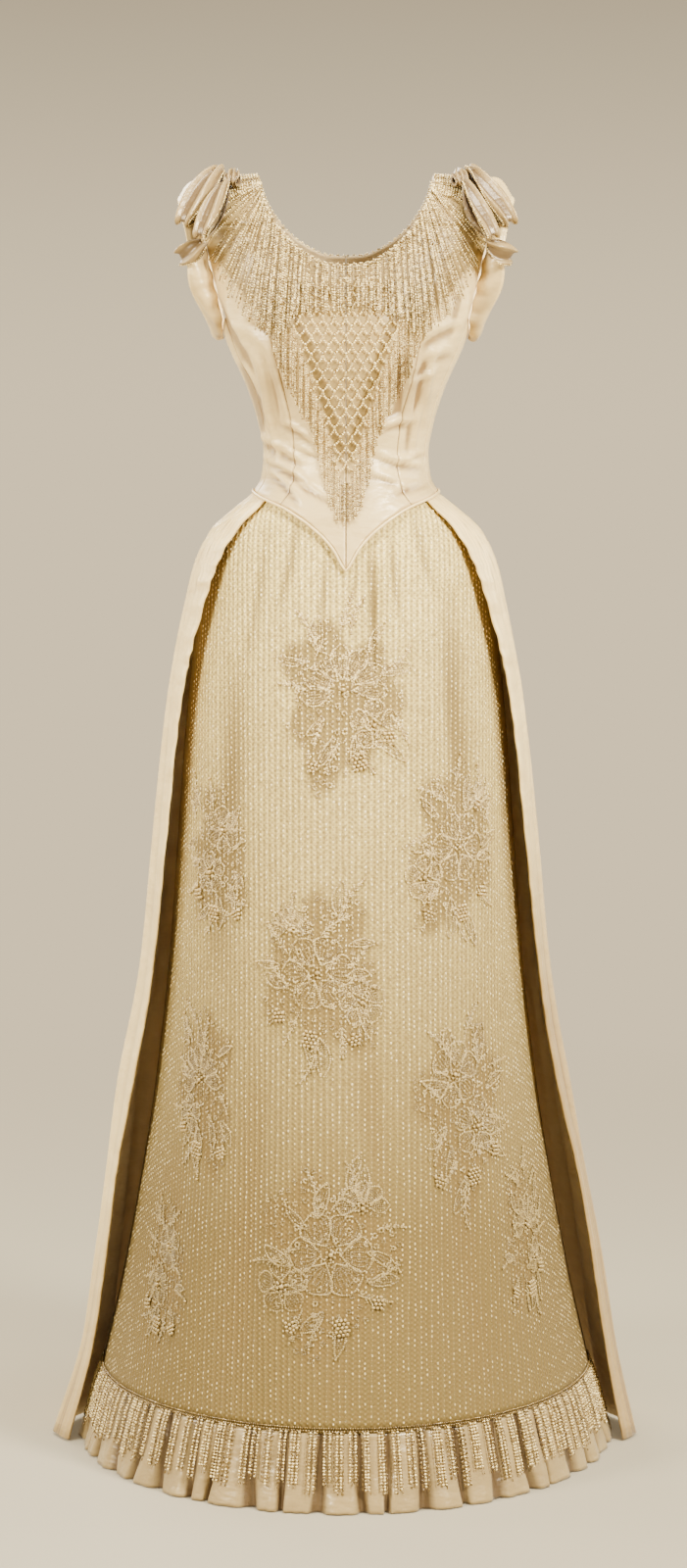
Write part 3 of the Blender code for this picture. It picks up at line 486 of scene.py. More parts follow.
def netting(name):
    """Beaded net over satin: upright rows with a darker line between, crossed by fine mesh threads; painted
    lighter towards the waist and darker towards the hem, standing in for light from above, with painted
    shade where the piece is marked.
    """
    look = Look(name, 0.62, 0.18, 0.02)
    parts = look.node("SeparateXYZ", look.node("UVMap", uv_map="cut").outputs["UV"]).outputs

    def wave(value, pitch):
        turns = look.node("Math", value, operation="MULTIPLY")
        turns.inputs[1].default_value = 2.0 * math.pi / pitch
        return look.node("Math", turns.outputs[0], operation="COSINE").outputs[0]

    rows = wave(parts["X"], ROW_PITCH)
    mesh = look.node("Math", rows, wave(parts["Y"], ROW_BEAD_PITCH), operation="MULTIPLY").outputs[0]
    # Painted light: lighter towards the waist and painted shade towards the hem, as if lit from above
    tone = look.mixed(look.ranged(parts["Y"], -1.10, -0.31), NET_SHADED_HEM, NET_LIT_WAIST)
    for value, *limits in (
        (rows, -0.9, 0.7, 0.46, 0.0),
        (mesh, -0.9, 0.1, 0.55, 0.0),
        (look.noise(look.place(), 14.0, 4.0), 0.35, 0.75, 0.0, 0.22),
        (look.noise(look.place(), 300.0, 2.0), 0.42, 0.66, 0.0, 0.5),
    ):
        tone = look.mixed(look.ranged(value, *limits), tone, NET_SHADE)
    tone = look.mixed(look.marked("shade"), tone, NET_SHADE)
    normal = look.bump(mesh, 0.35, 0.0006, look.bump(rows, 0.55, 0.0008))
    return look.finish(tone, None, normal)


# Each satin's second tone is its painted shade, used where the piece is marked as in shade
CREAM = (0.80, 0.585, 0.232)
CREAM_SHADE = (0.22, 0.125, 0.036)
ROSE_CREAM = (0.31, 0.215, 0.082)
ROSE_SHADE = (0.078, 0.043, 0.014)
RIBBON_CREAM = (0.29, 0.19, 0.064)
RIBBON_SHADE = (0.065, 0.032, 0.009)
# Painted shade under the bead net and fringes on the bodice, and painted shadow in the slits along the V
UNDERBEAD_SHADE_COLOUR = (0.235, 0.148, 0.037)
LINING = (1.0, 0.76, 0.40)
# The bodice lining is painted dark, as painted shade standing in for the shade between arm and bodice where
# the lining shows at the armhole
BODICE_LINING_SHADE = (0.36, 0.25, 0.105)
NET_SHADED_HEM = (0.150, 0.105, 0.030)
NET_LIT_WAIST = (1.0, 0.76, 0.235)
NET_SHADE = (0.15, 0.092, 0.025)

SATIN = satin("cream_satin", CREAM, CREAM_SHADE, 0.36, UNDERBEAD_SHADE_COLOUR)
FRILL_SATIN = satin("frill_satin", ROSE_CREAM, ROSE_SHADE, 0.32)
RIBBON = satin("ribbon_satin", RIBBON_CREAM, RIBBON_SHADE, 0.34)
INSIDE = satin("skirt_lining", LINING, LINING, 0.6)
BODICE_INSIDE = satin("bodice_lining", BODICE_LINING_SHADE, BODICE_LINING_SHADE, 0.6)
NETTING = netting("beaded_net")
PEARL = bead("pearl_beads", (0.88, 0.67, 0.265), (0.20, 0.122, 0.032), 0.16, 0.0, 0.3)
GLOSSY = bead("glass_strands", (0.28, 0.178, 0.048), (0.085, 0.047, 0.011), 0.12, 0.30, 0.5)
GOLD = bead("net_beads", (1.0, 0.77, 0.29), (0.62, 0.42, 0.125), 0.18, 0.0, 0.8)
GRAIN = bead("row_beads", (0.80, 0.60, 0.23), (0.48, 0.325, 0.10), 0.3, 0.0, 0.2, (0.22, 0.145, 0.041))
GLINT = bead("bright_row_beads", (1.0, 0.82, 0.42), (0.80, 0.62, 0.27), 0.25, 0.0, 0.4, (0.50, 0.37, 0.15))
SPRAY = bead("spray_beads", (0.58, 0.405, 0.13), (0.15, 0.088, 0.022), 0.3, 0.0, 0.2, (0.15, 0.098, 0.026))
SPRAY_LIGHT = bead(
    "spray_outlines", (0.86, 0.645, 0.25), (0.34, 0.225, 0.068), 0.3, 0.0, 0.3, (0.28, 0.195, 0.06)
)
BERRY = bead("berry_beads", (0.66, 0.48, 0.18), (0.32, 0.205, 0.062), 0.2, 0.0, 0.25, (0.34, 0.24, 0.085))


# Building


def finish_piece(name, points, faces, mats, slots=None):
    """A smooth mesh from points and faces, with a material slot for each face."""
    points = np.asarray(points, dtype=np.float32).reshape(-1, 3)
    faces = np.asarray(faces, dtype=np.int32)
    mesh = bpy.data.meshes.new(name)
    mesh.vertices.add(len(points))
    mesh.vertices.foreach_set("co", points.ravel())
    mesh.loops.add(faces.size)
    mesh.loops.foreach_set("vertex_index", faces.ravel())
    mesh.polygons.add(len(faces))
    mesh.polygons.foreach_set("loop_start", np.arange(0, faces.size, faces.shape[1], dtype=np.int32))
    mesh.update(calc_edges=True)
    if slots is not None:
        mesh.polygons.foreach_set("material_index", np.asarray(slots, dtype=np.int32))
    mesh.shade_smooth()
    for m in mats:
        mesh.materials.append(m)
    obj = bpy.data.objects.new(name, mesh)
    bpy.context.scene.collection.objects.link(obj)
    return obj


def belongs(piece, *nodes):
    """The piece rides on the dress and stands for these solids."""
    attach(piece, "root")
    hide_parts(*nodes)
    return piece


def mark(piece, name, values):
    """Gives each point of a piece a value that its material reads."""
    layer = piece.data.attributes.new(name, "FLOAT", "POINT")
    layer.data.foreach_set("value", np.asarray(values, dtype=np.float32).ravel())


def shell(name, outer, inner, mats, closed=False, shade=None, ground=None, uv=None):
    """A thin cloth from two grids of points; the second material, if any, is on the inside."""
    rows, count = outer.shape[:2]
    across = count if closed else count - 1
    i, j = np.meshgrid(np.arange(rows - 1), np.arange(across), indexing="ij")
    a = (i * count + j).ravel()
    b = (i * count + (j + 1) % count).ravel()
    c = ((i + 1) * count + (j + 1) % count).ravel()
    d = ((i + 1) * count + j).ravel()
    shift = rows * count
    front = np.stack([a, b, c, d], 1)
    faces = [front, front[:, ::-1] + shift]
    e = np.arange(across)
    f = (e + 1) % count
    faces.append(np.stack([e, e + shift, f + shift, f], 1))
    e, f = (rows - 1) * count + e, (rows - 1) * count + f
    faces.append(np.stack([e, f, f + shift, e + shift], 1))
    if not closed:
        i = np.arange(rows - 1)
        e = i * count
        faces.append(np.stack([e, e + count, e + count + shift, e + shift], 1))
        e = i * count + count - 1
        faces.append(np.stack([e, e + shift, e + count + shift, e + count], 1))
    inside = int(len(mats) > 1)
    slots = np.concatenate([np.full(len(g), inside if k == 1 else 0) for k, g in enumerate(faces)])
    faces = np.concatenate(faces)
    points = np.concatenate([outer.reshape(-1, 3), inner.reshape(-1, 3)])
    p = points[faces]
    volume = np.einsum("ij,ij->i", p[:, 0], np.cross(p[:, 1], p[:, 2])).sum()
    volume += np.einsum("ij,ij->i", p[:, 0], np.cross(p[:, 2], p[:, 3])).sum()
    if volume < 0:
        faces = faces[:, ::-1]
    piece = finish_piece(name, points, faces, mats, slots)
    for label, values in (("shade", shade), ("ground", ground)):
        if values is not None:
            mark(piece, label, np.concatenate([np.broadcast_to(values, (rows, count)).ravel()] * 2))
    if uv is not None:
        flat = np.concatenate([uv.reshape(-1, 2)] * 2)
        layer = piece.data.uv_layers.new(name="cut")
        corner = np.zeros(len(piece.data.loops), dtype=np.int32)
        piece.data.loops.foreach_get("vertex_index", corner)
        layer.data.foreach_set("uv", flat[corner].astype(np.float32).ravel())
    return piece


def declare(grid, closed=False):
    """Measures the cloth's cut along its own threads: its width, length and area."""
    if closed:
        grid = np.concatenate([grid, grid[:, :1]], 1)
    across = np.linalg.norm(np.diff(grid, axis=1), axis=2)
    along = np.linalg.norm(np.diff(grid, axis=0), axis=2)
    width = float(across.sum(1).max())
    length = float(along.sum(0).max())
    u = grid[:-1, 1:] - grid[:-1, :-1]
    v = grid[1:, :-1] - grid[:-1, :-1]
    w = grid[1:, 1:] - grid[:-1, :-1]
    area = 0.5 * (np.linalg.norm(np.cross(u, w), axis=2) + np.linalg.norm(np.cross(w, v), axis=2)).sum()
    area = float(min(0.99, max(0.31, area / (width * length))) * width * length)


def cloth(name, node, outer, inner, mats, held, rests_on=(), closed=False, cut=None, **marks):
    """A thin cloth over its solid, with its cut measured."""
    piece = belongs(shell(name, outer, inner, mats, closed, **marks), node)
    grid = outer if cut is None else cut
    declare(grid, closed=closed and cut is None)


GOLDEN = (1.0 + math.sqrt(5.0)) / 2.0
ROUND_POINTS = unit(
    [(s * a, t * GOLDEN, 0.0) for s in (-1, 1) for a in (1,) for t in (-1, 1)]
    + [(0.0, s, t * GOLDEN) for s in (-1, 1) for t in (-1, 1)]
    + [(s * GOLDEN, 0.0, t) for s in (-1, 1) for t in (-1, 1)]
)


def hull_faces(points):
    """The triangles of a regular form: every three nearest neighbours, turned outwards."""
    gaps = np.linalg.norm(points[:, None] - points[None], axis=2)
    near = gaps[gaps > 1e-6].min() * 1.01
    faces = []
    count = len(points)
    for a in range(count):
        for b in range(a + 1, count):
            for c in range(b + 1, count):
                if max(gaps[a, b], gaps[b, c], gaps[a, c]) < near:
                    way = np.dot(points[a], np.cross(points[b], points[c]))
                    faces.append((a, b, c) if way > 0 else (a, c, b))
    return np.array(faces)


ROUND_FACES = hull_faces(ROUND_POINTS)
DOME_SIDES = 5
DOME_HEIGHT = 0.95


def bead_mesh(name, points, sides, mats, kinds):
    """One mesh of many forms with the same faces."""
    count, each = points.shape[:2]
    faces = sides[None] + (np.arange(count) * each)[:, None, None]
    return finish_piece(name, points, faces.reshape(-1, 3), mats, np.repeat(kinds, len(sides)))


class Beads:
    """Collects beads for one piece: their places, sizes, ways, lengths and kinds."""

    def __init__(self):
        self.rows = []

    def put(self, places, size, kind=0, way=(0.0, 0.0, 1.0), long=1.0):
        places = np.atleast_2d(places)
        count = len(places)
        ways = np.broadcast_to(way, (count, 3))
        sizes, longs, kinds = (np.broadcast_to(v, (count,)) for v in (size, long, kind))
        self.rows.append((places, sizes, ways, longs, kinds.astype(int)))

    def gathered(self):
        places, sizes, ways, longs, kinds = (np.concatenate(column) for column in zip(*self.rows))
        return places[:, None], sizes[:, None, None], unit(ways), longs, kinds

    def domes(self, name, mats):
        """The beads as small domes on the cloth, their ways being the directions out of it."""
        places, sizes, out, longs, kinds = self.gathered()
        across = unit(np.cross(out, UP))[:, None]
        up = np.cross(across[:, 0], out)[:, None]
        angle = 2.0 * math.pi * (np.arange(DOME_SIDES) + 0.5) / DOME_SIDES
        longs = longs[:, None, None]
        ring = places + sizes * (across * np.cos(angle)[:, None] + up * np.sin(angle)[:, None] * longs)
        top = places + sizes * out[:, None] * DOME_HEIGHT
        points = np.concatenate([top, ring], 1)
        k = np.arange(DOME_SIDES)
        sides = np.stack([0 * k, 1 + (k + 1) % DOME_SIDES, 1 + k], 1)
        return bead_mesh(name, points, sides, mats, kinds)

    def piece(self, name, mats):
        """The beads as round forms, or long ones along their ways."""
        places, sizes, ways, longs, kinds = self.gathered()
        v = ROUND_POINTS[None] * sizes
        along = np.einsum("nij,nj->ni", v, ways)
        v = v + ways[:, None] * (along * (longs - 1.0)[:, None])[..., None] + places
        return bead_mesh(name, v, ROUND_FACES, mats, kinds)


def at_run(path, run, at):
    """Places of a path at distances along it."""
    return np.stack([np.interp(at, run, path[:, k]) for k in range(3)], 1)


def along_path(path, pitch, start=0.5):
    """Places at a pitch along a path, and the path's direction there."""
    path = np.asarray(path)
    run = run_of(path)
    at = (np.arange(int(run[-1] / pitch)) + start) * pitch
    way = at_run(path, run, at + 0.001) - at_run(path, run, at - 0.001)
    return at_run(path, run, at), unit(way)


def grid_normals(grid, closed=False):
    """Directions square to a grid of points."""
    if closed:
        along = np.roll(grid, -1, axis=1) - np.roll(grid, 1, axis=1)
    else:
        along = np.gradient(grid, axis=1)
    return unit(np.cross(along, np.gradient(grid, axis=0)))


def edge_distance(grid):
    """Distance of each point of a grid from the nearer end of its row, and from the first end."""
    run = run_of(grid)
    return np.minimum(run, run[:, -1:] - run), run


def gap_turn(turn, z, gap):
    """The turn that moves a place of the figure by a gap along its section."""
    step = np.linalg.norm(figure_point(turn + 1.0, z) - figure_point(turn, z), axis=-1)
    return gap / np.maximum(1e-6, step)


def denser(start, end, count):
    """Values from start to end, closer together at both ends."""
    u = np.linspace(0.0, 1.0, count)
    return start + (end - start) * (0.6 * u + 0.2 * (1.0 - np.cos(np.pi * u)))


# Bodice


SETTLE_ROUNDS = 30


def settle(turn, height_at_x):
    """Heights of an edge that is given by the distance from the centre, found by going back and forth."""
    z = np.full(len(turn), YOKE_SEAM)
    for _ in range(SETTLE_ROUNDS):
        z = 0.5 * z + 0.5 * height_at_x(np.abs(figure_point(turn, z)[:, 0]))
    return z - SEAM_GAP / 2


def front_top(turn):
    return settle(turn, lambda x: np.minimum(neck_height(x), YOKE_SEAM))


def back_top(turn):
    return settle(turn, lambda x: np.minimum(neck_height(x) * BACK_NECK_SHARE, YOKE_SEAM))


def yoke_top(turn):
    return np.full(len(turn), YOKE_SEAM - SEAM_GAP / 2)


def underarm_top(turn):
    share = (np.abs(turn) - ARMHOLE_TURN) / (180.0 - 2 * ARMHOLE_TURN)
    return ARMHOLE_LOW - ARMHOLE_DIP * np.sin(np.pi * ramp(share))


# Name, turns of both edges, height of the upper edge, and points across
BODICE_PANELS = [
    ("bodice_front", 0.0, PRINCESS_TURN, front_top, 44),
    ("bodice_side_front", PRINCESS_TURN, ARMHOLE_TURN, yoke_top, 34),
    ("bodice_underarm", ARMHOLE_TURN, 180.0 - ARMHOLE_TURN, underarm_top, 26),
    ("bodice_side_back", 180.0 - ARMHOLE_TURN, SIDE_BACK_TURN, yoke_top, 30),
    ("bodice_back", SIDE_BACK_TURN, 180.0, back_top, 34),
]
BODICE_ROWS = 88
SHOULDER_ROWS = 46
SHOULDER_ACROSS = 22
CREASE_GAIN = 2.4
# How far above the yoke fringe's lower end the painted shade under the fringe starts
UNDERBEAD_SHADE_RISE = 0.012
V_TOP = -0.112
V_LOW = -0.322


def yoke_edge(x):
    """Height of the lower edge of the yoke's fringe."""
    return yoke_fringe_end(np.abs(x)) + UNDERBEAD_SHADE_RISE


def bodice_lift(turn, x, z):
    """How far the satin's creases stand out of the bodice."""
    front = creased(x, z, BODICE_CREASES, 0.72)
    back = creased(x, z, BACK_CREASES, 0.8)
    return CREASE_GAIN * np.where(np.abs(turn) < 90.0, front, back)


def bodice_piece(name, start, end, top, across, side, tag):
    turns = denser(start, end, across)
    if side < 0:
        turns = -turns[::-1]
    low = basque_height(np.abs(turns))
    z = low + (top(turns) - low) * np.linspace(0.0, 1.0, BODICE_ROWS)[:, None]
    turn = np.broadcast_to(turns, z.shape).copy()
    turn[:, 0] += gap_turn(turn[:, 0], z[:, 0], SEAM_GAP / 2)
    turn[:, -1] -= gap_turn(turn[:, -1], z[:, -1], SEAM_GAP / 2)
    base = figure_point(turn, z)
    x = base[..., 0]
    drag = bodice_lift(turn, x, z)
    near, _ = edge_distance(base)
    lift = BODICE_WALL + drag - 0.0007 * hump(near, 0.0011)
    out = normals(figure_point, turn, z)
    outer = base + out * lift[..., None]
    inner = base + out * (0.6 * drag)[..., None]
    front = np.abs(turn) < 90.0
    # Painted shade under the V's net and under the yoke's fringe, and a painted shadow in the slits along
    # the V's edges
    inside = ramp(stomacher_half(z) - np.abs(x) + 0.004, 0.004) * (z < V_TOP) * (z > V_LOW)
    slit = hump(np.abs(x) - stomacher_half(z) + 0.004, 0.0045)
    slit = slit * ramp(-z - 0.13, 0.04) * ramp(z + 0.30, 0.03)
    fringed = ramp(z - yoke_edge(x), 0.006) * np.where(front, 1.0, 0.8)
    ground = np.where(front, ramp(0.62 * inside + slit), 0.0)
    ground = np.maximum(ground, 0.85 * fringed)
    # Painted shade under the bust, over the basque and in the valleys of the creases; the satin is also
    # darker along each panel's edges
    under_bust = np.exp(-(((np.abs(x) - 0.072) / 0.018) ** 2) - ((z + 0.215) / 0.036) ** 2)
    low_satin = 0.30 * ramp(-z - 0.296, 0.03)
    shade = 0.52 * under_bust + low_satin + ramp(-drag, 0.0013) * 0.80
    shade = shade + 0.4 * hump(near, 0.0009)
    node = f"{name}_{tag}"
    mats = [SATIN, BODICE_INSIDE]
    cloth(node + "_cloth", node, outer, inner, mats, "hung", shade=shade, ground=ground)


for tag, side in SIDES:
    for panel_row in BODICE_PANELS:
        bodice_piece(*panel_row, side, tag)


def strap_point(x, swing):
    """The shoulder piece's surface: swing runs from -90 in front over the shoulder to 90 behind."""
    drop = (ridge(x) - YOKE_SEAM - SEAM_GAP / 2) * (1.0 - np.cos(np.radians(swing)))
    z = ridge(x) - drop
    half = figure["half_width"](z)
    square = figure["square"](z)
    share = (1.0 - (np.abs(x) / half) ** square) ** (1.0 / square)
    depth = np.where(swing < 0, figure["front"](z), figure["back"](z))
    rounding = np.sqrt(1.0 - np.maximum(0.0, 1.0 - drop / SHOULDER_ROUND) ** 2)
    return stack(x, depth * share * rounding, z)


def strap_inner(swing):
    """Half width of the neck opening along the shoulder piece."""
    z = ridge(0.08) - (ridge(0.08) - YOKE_SEAM) * (1.0 - np.cos(np.radians(swing)))
    return neck_half(np.where(swing < 0, z, z / BACK_NECK_SHARE))


def strap_out(x, swing, out):
    near = np.clip(swing, -STRAP_SWING, STRAP_SWING)
    side = normals(strap_point, np.minimum(x, STRAP_OUTER - 0.001), near, 0.0006, 0.5)
    return strap_point(x, swing) + np.asarray(out)[..., None] * side


def shoulder(side, tag):
    swing = np.linspace(-90.0, 90.0, SHOULDER_ROWS)[:, None] * np.ones(SHOULDER_ACROSS)
    inner_x = strap_inner(swing[:, 0])[:, None]
    x = inner_x + (STRAP_OUTER - inner_x) * np.linspace(0.0, 1.0, SHOULDER_ACROSS)
    pull = 0.0006 * np.sin(x * 420.0 + swing * 0.05) * np.cos(np.radians(swing))
    mirror = MIRROR[side]
    outer = strap_out(x, swing, BODICE_WALL + pull) * mirror
    node = f"shoulder_{tag}"
    inner = strap_out(x, swing, 0.0 * x) * mirror
    # The shoulder piece carries the painted shade of its bead fringe all over
    cloth(node + "_cloth", node, outer, inner, [SATIN, BODICE_INSIDE], "hung", ground=0.8)


SLEEVE_CENTRE = np.array([0.160, 0.0, -0.087])
SLEEVE_HIGH = 0.065
SLEEVE_DEEP = 0.056
SLEEVE_LEAN = 0.017
SLEEVE_PUFF = 0.007
SLEEVE_SWELL = 0.010
SLEEVE_ROUND = 96
SLEEVE_ROWS = 20


def armhole(count, out):
    """Places round the wearer's left armhole, from the shoulder over the front."""
    few = 16
    swing = np.linspace(0.0, 90.0, few)
    level = np.linspace(YOKE_SEAM, ARMHOLE_LOW, few)
    turn = np.linspace(ARMHOLE_TURN, 180.0 - ARMHOLE_TURN, 20)
    strap = np.full(few, STRAP_OUTER)

    def over_strap(way):
        near = np.clip(way, -STRAP_SWING, STRAP_SWING)
        return strap_point(strap, way) + out * normals(strap_point, strap - 0.004, near, 0.0006, 0.5)

    path = [
        over_strap(-swing),
        figure_out(np.full(few, ARMHOLE_TURN), level, out),
        figure_out(turn, underarm_top(turn), out),
        figure_out(np.full(few, 180.0 - ARMHOLE_TURN), level[::-1], out),
        over_strap(swing[::-1]),
    ]
    path = np.concatenate([p if k == 0 else p[1:] for k, p in enumerate(path)])
    run = run_of(path)
    at = run[-1] * np.arange(count) / count
    return at_run(path, run, at)


def sleeve(side, tag):
    """A short cap of satin with small gathers at the shoulder."""
    root = armhole(SLEEVE_ROUND, BODICE_WALL + 2 * LAYER_GAP)
    turn = around(SLEEVE_ROUND)
    hem = np.stack([SLEEVE_LEAN * np.cos(turn), -SLEEVE_DEEP * np.sin(turn), SLEEVE_HIGH * np.cos(turn)], 1)
    hem = hem + SLEEVE_CENTRE
    hem[:, 0] += SLEEVE_SWELL * hump(hem[:, 2] + 0.110, 0.030)
    middle = root.mean(axis=0)
    share = np.linspace(0.0, 1.0, SLEEVE_ROWS)[:, None, None]
    grid = root + (hem - root) * share
    away = (grid - middle) * np.array([0.0, 1.0, 1.0])
    grid = grid + unit(away) * SLEEVE_PUFF * np.sin(np.pi * share) + np.array([SEAM_GAP, 0.0, 0.0])
    out = grid_normals(grid, closed=True)
    out = out * np.sign(np.einsum("ijk,ijk->ij", out, grid - middle))[..., None]
    share = share[..., 0]
    gather = 0.0011 * np.sin(turn * (17 + side) + 1.4 * np.sin(turn * 3.0)) * (1.0 - share) ** 1.5
    soft = 0.0026 * np.sin(turn * 4.0 + 2.0 * share + side) * np.sin(np.pi * share)
    lift = gather + soft
    lift = lift + 0.0008 * ramp(share - 0.90, 0.05)
    mirror = MIRROR[side]
    outer = (grid + out * (BODICE_WALL + lift)[..., None]) * mirror
    inner = (grid + out * (0.8 * lift)[..., None]) * mirror
    node = f"sleeve_{tag}"
    shade = 0.22 + ramp(-gather, 0.001) * 0.4 + ramp(-soft, 0.0026) * 0.3
    shade = shade * ramp(0.93 - share, 0.02)
    cloth(node + "_cloth", node, outer, inner, [SATIN, INSIDE], "hung", closed=True, shade=shade)


for tag, side in SIDES:
    shoulder(side, tag)
    sleeve(side, tag)


def piping():
    """A fine cord all round the basque's lower edge."""
    sides = 8
    half = np.concatenate([np.linspace(0.0, 33.0, 50), np.linspace(33.0, 180.0, 110)[1:]])
    turns = np.concatenate([half, -half[1:-1][::-1]])
    level = basque_height(np.abs(turns))
    edge = figure_out(turns, level, np.full(len(turns), PIPING_OUT))
    along = unit(np.roll(edge, -1, axis=0) - np.roll(edge, 1, axis=0))
    down = np.cross(along, normals(figure_point, turns, level))
    down = down * np.where(down[:, 2:] < 0, 1.0, -1.0)
    centres = edge + down * (PIPING_RADIUS + SEAM_GAP)
    along = unit(np.roll(centres, -1, axis=0) - np.roll(centres, 1, axis=0))
    out = unit(centres * np.array([1.0, 1.0, 0.0]))
    out = unit(out - np.einsum("ij,ij->i", out, along)[:, None] * along)
    up = np.cross(out, along)
    angle = around(sides)
    ring = np.cos(angle)[None, :, None] * out[:, None] + np.sin(angle)[None, :, None] * up[:, None]
    points = centres[:, None] + PIPING_RADIUS * ring
    count = len(centres)
    i, k = np.meshgrid(np.arange(count), np.arange(sides), indexing="ij")
    a = i * sides + k
    b = i * sides + (k + 1) % sides
    c = (i + 1) % count * sides + (k + 1) % sides
    d = (i + 1) % count * sides + k
    faces = np.stack([a, b, c, d], -1).reshape(-1, 4)
    belongs(finish_piece("basque_cord", points.reshape(-1, 3), faces, [SATIN]), "basque_piping")


piping()

# Front of the skirt

PANEL_CREASES = [
    (0.025, -0.385, 0.03, -0.53, 0.001, 0.0034, -0.0048),
    (0.034, -0.372, 0.041, -0.47, 0.001, 0.004, 0.003),
    (0.014, -0.4, 0.002, -0.45, 0.001, 0.003, -0.0016),
    (-0.02, -0.372, -0.034, -0.5, 0.002, 0.005, -0.0018),
    (0.046, -0.36, 0.06, -0.47, -0.002, 0.0045, -0.0018),
    (-0.052, -0.35, -0.076, -0.46, 0.003, 0.006, -0.0018),
    (0.072, -0.345, 0.098, -0.44, -0.003, 0.006, -0.0016),
    (-0.084, -0.35, -0.112, -0.52, 0.004, 0.007, -0.0014),
    (0.11, -0.42, 0.14, -0.76, -0.006, 0.014, -0.0026),
    (-0.12, -0.48, -0.146, -0.86, 0.006, 0.015, -0.0024),
    (0.05, -0.72, 0.082, -1.2, -0.006, 0.018, 0.003),
    (-0.06, -0.9, -0.096, -1.29, 0.006, 0.018, 0.003),
    (0.01, -0.98, 0.02, -1.29, 0.004, 0.016, 0.0022),
    (0.14, -0.9, 0.186, -1.29, -0.006, 0.017, 0.003),
    (-0.15, -1.01, -0.19, -1.29, 0.006, 0.017, 0.0026),
]
NET_SIDE_TURN = 97.0
PANEL_OUT = -(2 * LAYER_GAP + SKIRT_WALL)
LEVELS = np.linspace(SKIRT_TOP, NET_HEM, 120)
TURNS = np.linspace(-PANEL_TURN, PANEL_TURN, 249)
RUNS = run_of(figure_point(TURNS[None, :], LEVELS[:, None]))
RUNS = RUNS - RUNS[:, [len(TURNS) // 2]]


def panel_turn(s, z):
    """The turn at a distance along the section from centre front."""
    level = np.interp(-z, -LEVELS, np.arange(len(LEVELS)))
    i = np.minimum(level.astype(int), len(LEVELS) - 2)
    rows = RUNS[i] + (RUNS[i + 1] - RUNS[i]) * (level - i)[:, None]
    k = np.clip((rows < s[:, None]).sum(axis=1) - 1, 0, len(TURNS) - 2)
    each = np.arange(len(s))
    share = (s - rows[each, k]) / (rows[each, k + 1] - rows[each, k])
    return TURNS[k] + share * (TURNS[1] - TURNS[0])


def panel_run(x, z):
    """Distance along the section from centre front of a place given in front view."""
    turn = float(turn_at(np.array(x), np.array(z)))
    row = RUNS[int(np.argmin(np.abs(LEVELS - z)))]
    return float(np.interp(turn, TURNS, row))


def panel_lift(turn, x, z):
    """How far the net's creases in front and its waves behind stand out."""
    front = ramp(100.0 - np.abs(turn), 10.0)
    back = 0.003 * np.sin(np.abs(turn) * 0.5) * ramp(np.abs(turn) - 96.0, 14.0)
    return creased(x, z, PANEL_CREASES) * front + back * ramp(-z - 0.5, 0.4)


def panel_place(s, z, lift):
    """Places over the net, by distance from centre front and height, and the ways out of it there."""
    turn = panel_turn(s, z)
    base = figure_point(turn, z)
    out = normals(figure_point, turn, z)
    return base + out * (PANEL_OUT + lift + panel_lift(turn, base[:, 0], z))[:, None], out


# Kind, place in front view, height, width, lean, side that it faces, and seed
SPRAYS = [
    ("fan", -0.008, -0.545, 0.225, 0.168, 0.05, 1, 1),
    ("rosette", 0.116, -0.705, 0.222, 0.156, -0.10, 1, 2),
    ("branch", -0.138, -0.715, 0.195, 0.120, 0.12, -1, 3),
    ("rosette", -0.024, -0.830, 0.222, 0.165, 0.06, -1, 4),
    ("fan", -0.152, -0.960, 0.215, 0.135, 0.10, -1, 5),
    ("branch", 0.126, -0.975, 0.245, 0.165, -0.08, 1, 6),
    ("rosette", -0.022, -1.120, 0.245, 0.188, -0.04, 1, 7),
    ("fan", 0.192, -1.120, 0.190, 0.120, -0.10, 1, 8),
    ("branch", -0.196, -1.160, 0.185, 0.115, 0.10, -1, 9),
]


def spray_rim(angle, seed):
    """How far a spray reaches in each direction, as a share of its size."""
    return 0.36 + 0.055 * np.sin(3.0 * angle + seed) + 0.05 * np.sin(7.0 * angle + 2.0 * seed)


def under_sprays(s, z):
    """How far the net lies in the shade of the sprays over it."""
    shade = np.zeros(np.broadcast(s, z).shape)
    for _, x, height, tall, wide, _, _, seed in SPRAYS:
        a = (s - panel_run(x, height)) / wide
        b = (z - height) / tall
        inside = np.hypot(a, b) / spray_rim(np.arctan2(b, a), seed)
        shade = np.maximum(shade, 0.80 * ramp(1.04 - inside, 0.14))
        heart = np.hypot(a * wide, (b - 0.02) * tall) / (0.26 * wide)
        shade = np.maximum(shade, 0.85 * ramp(1.0 - heart, 0.25))
    return shade


def edge_turn(z):
    """The turn at which the overskirt's front edge lies."""
    half = figure["half_width"](z) + over["side"](z)
    share = np.minimum(0.999, over["edge_x"](z) / half)
    return np.degrees(np.arcsin(share ** (figure["square"](z) / 2.0)))


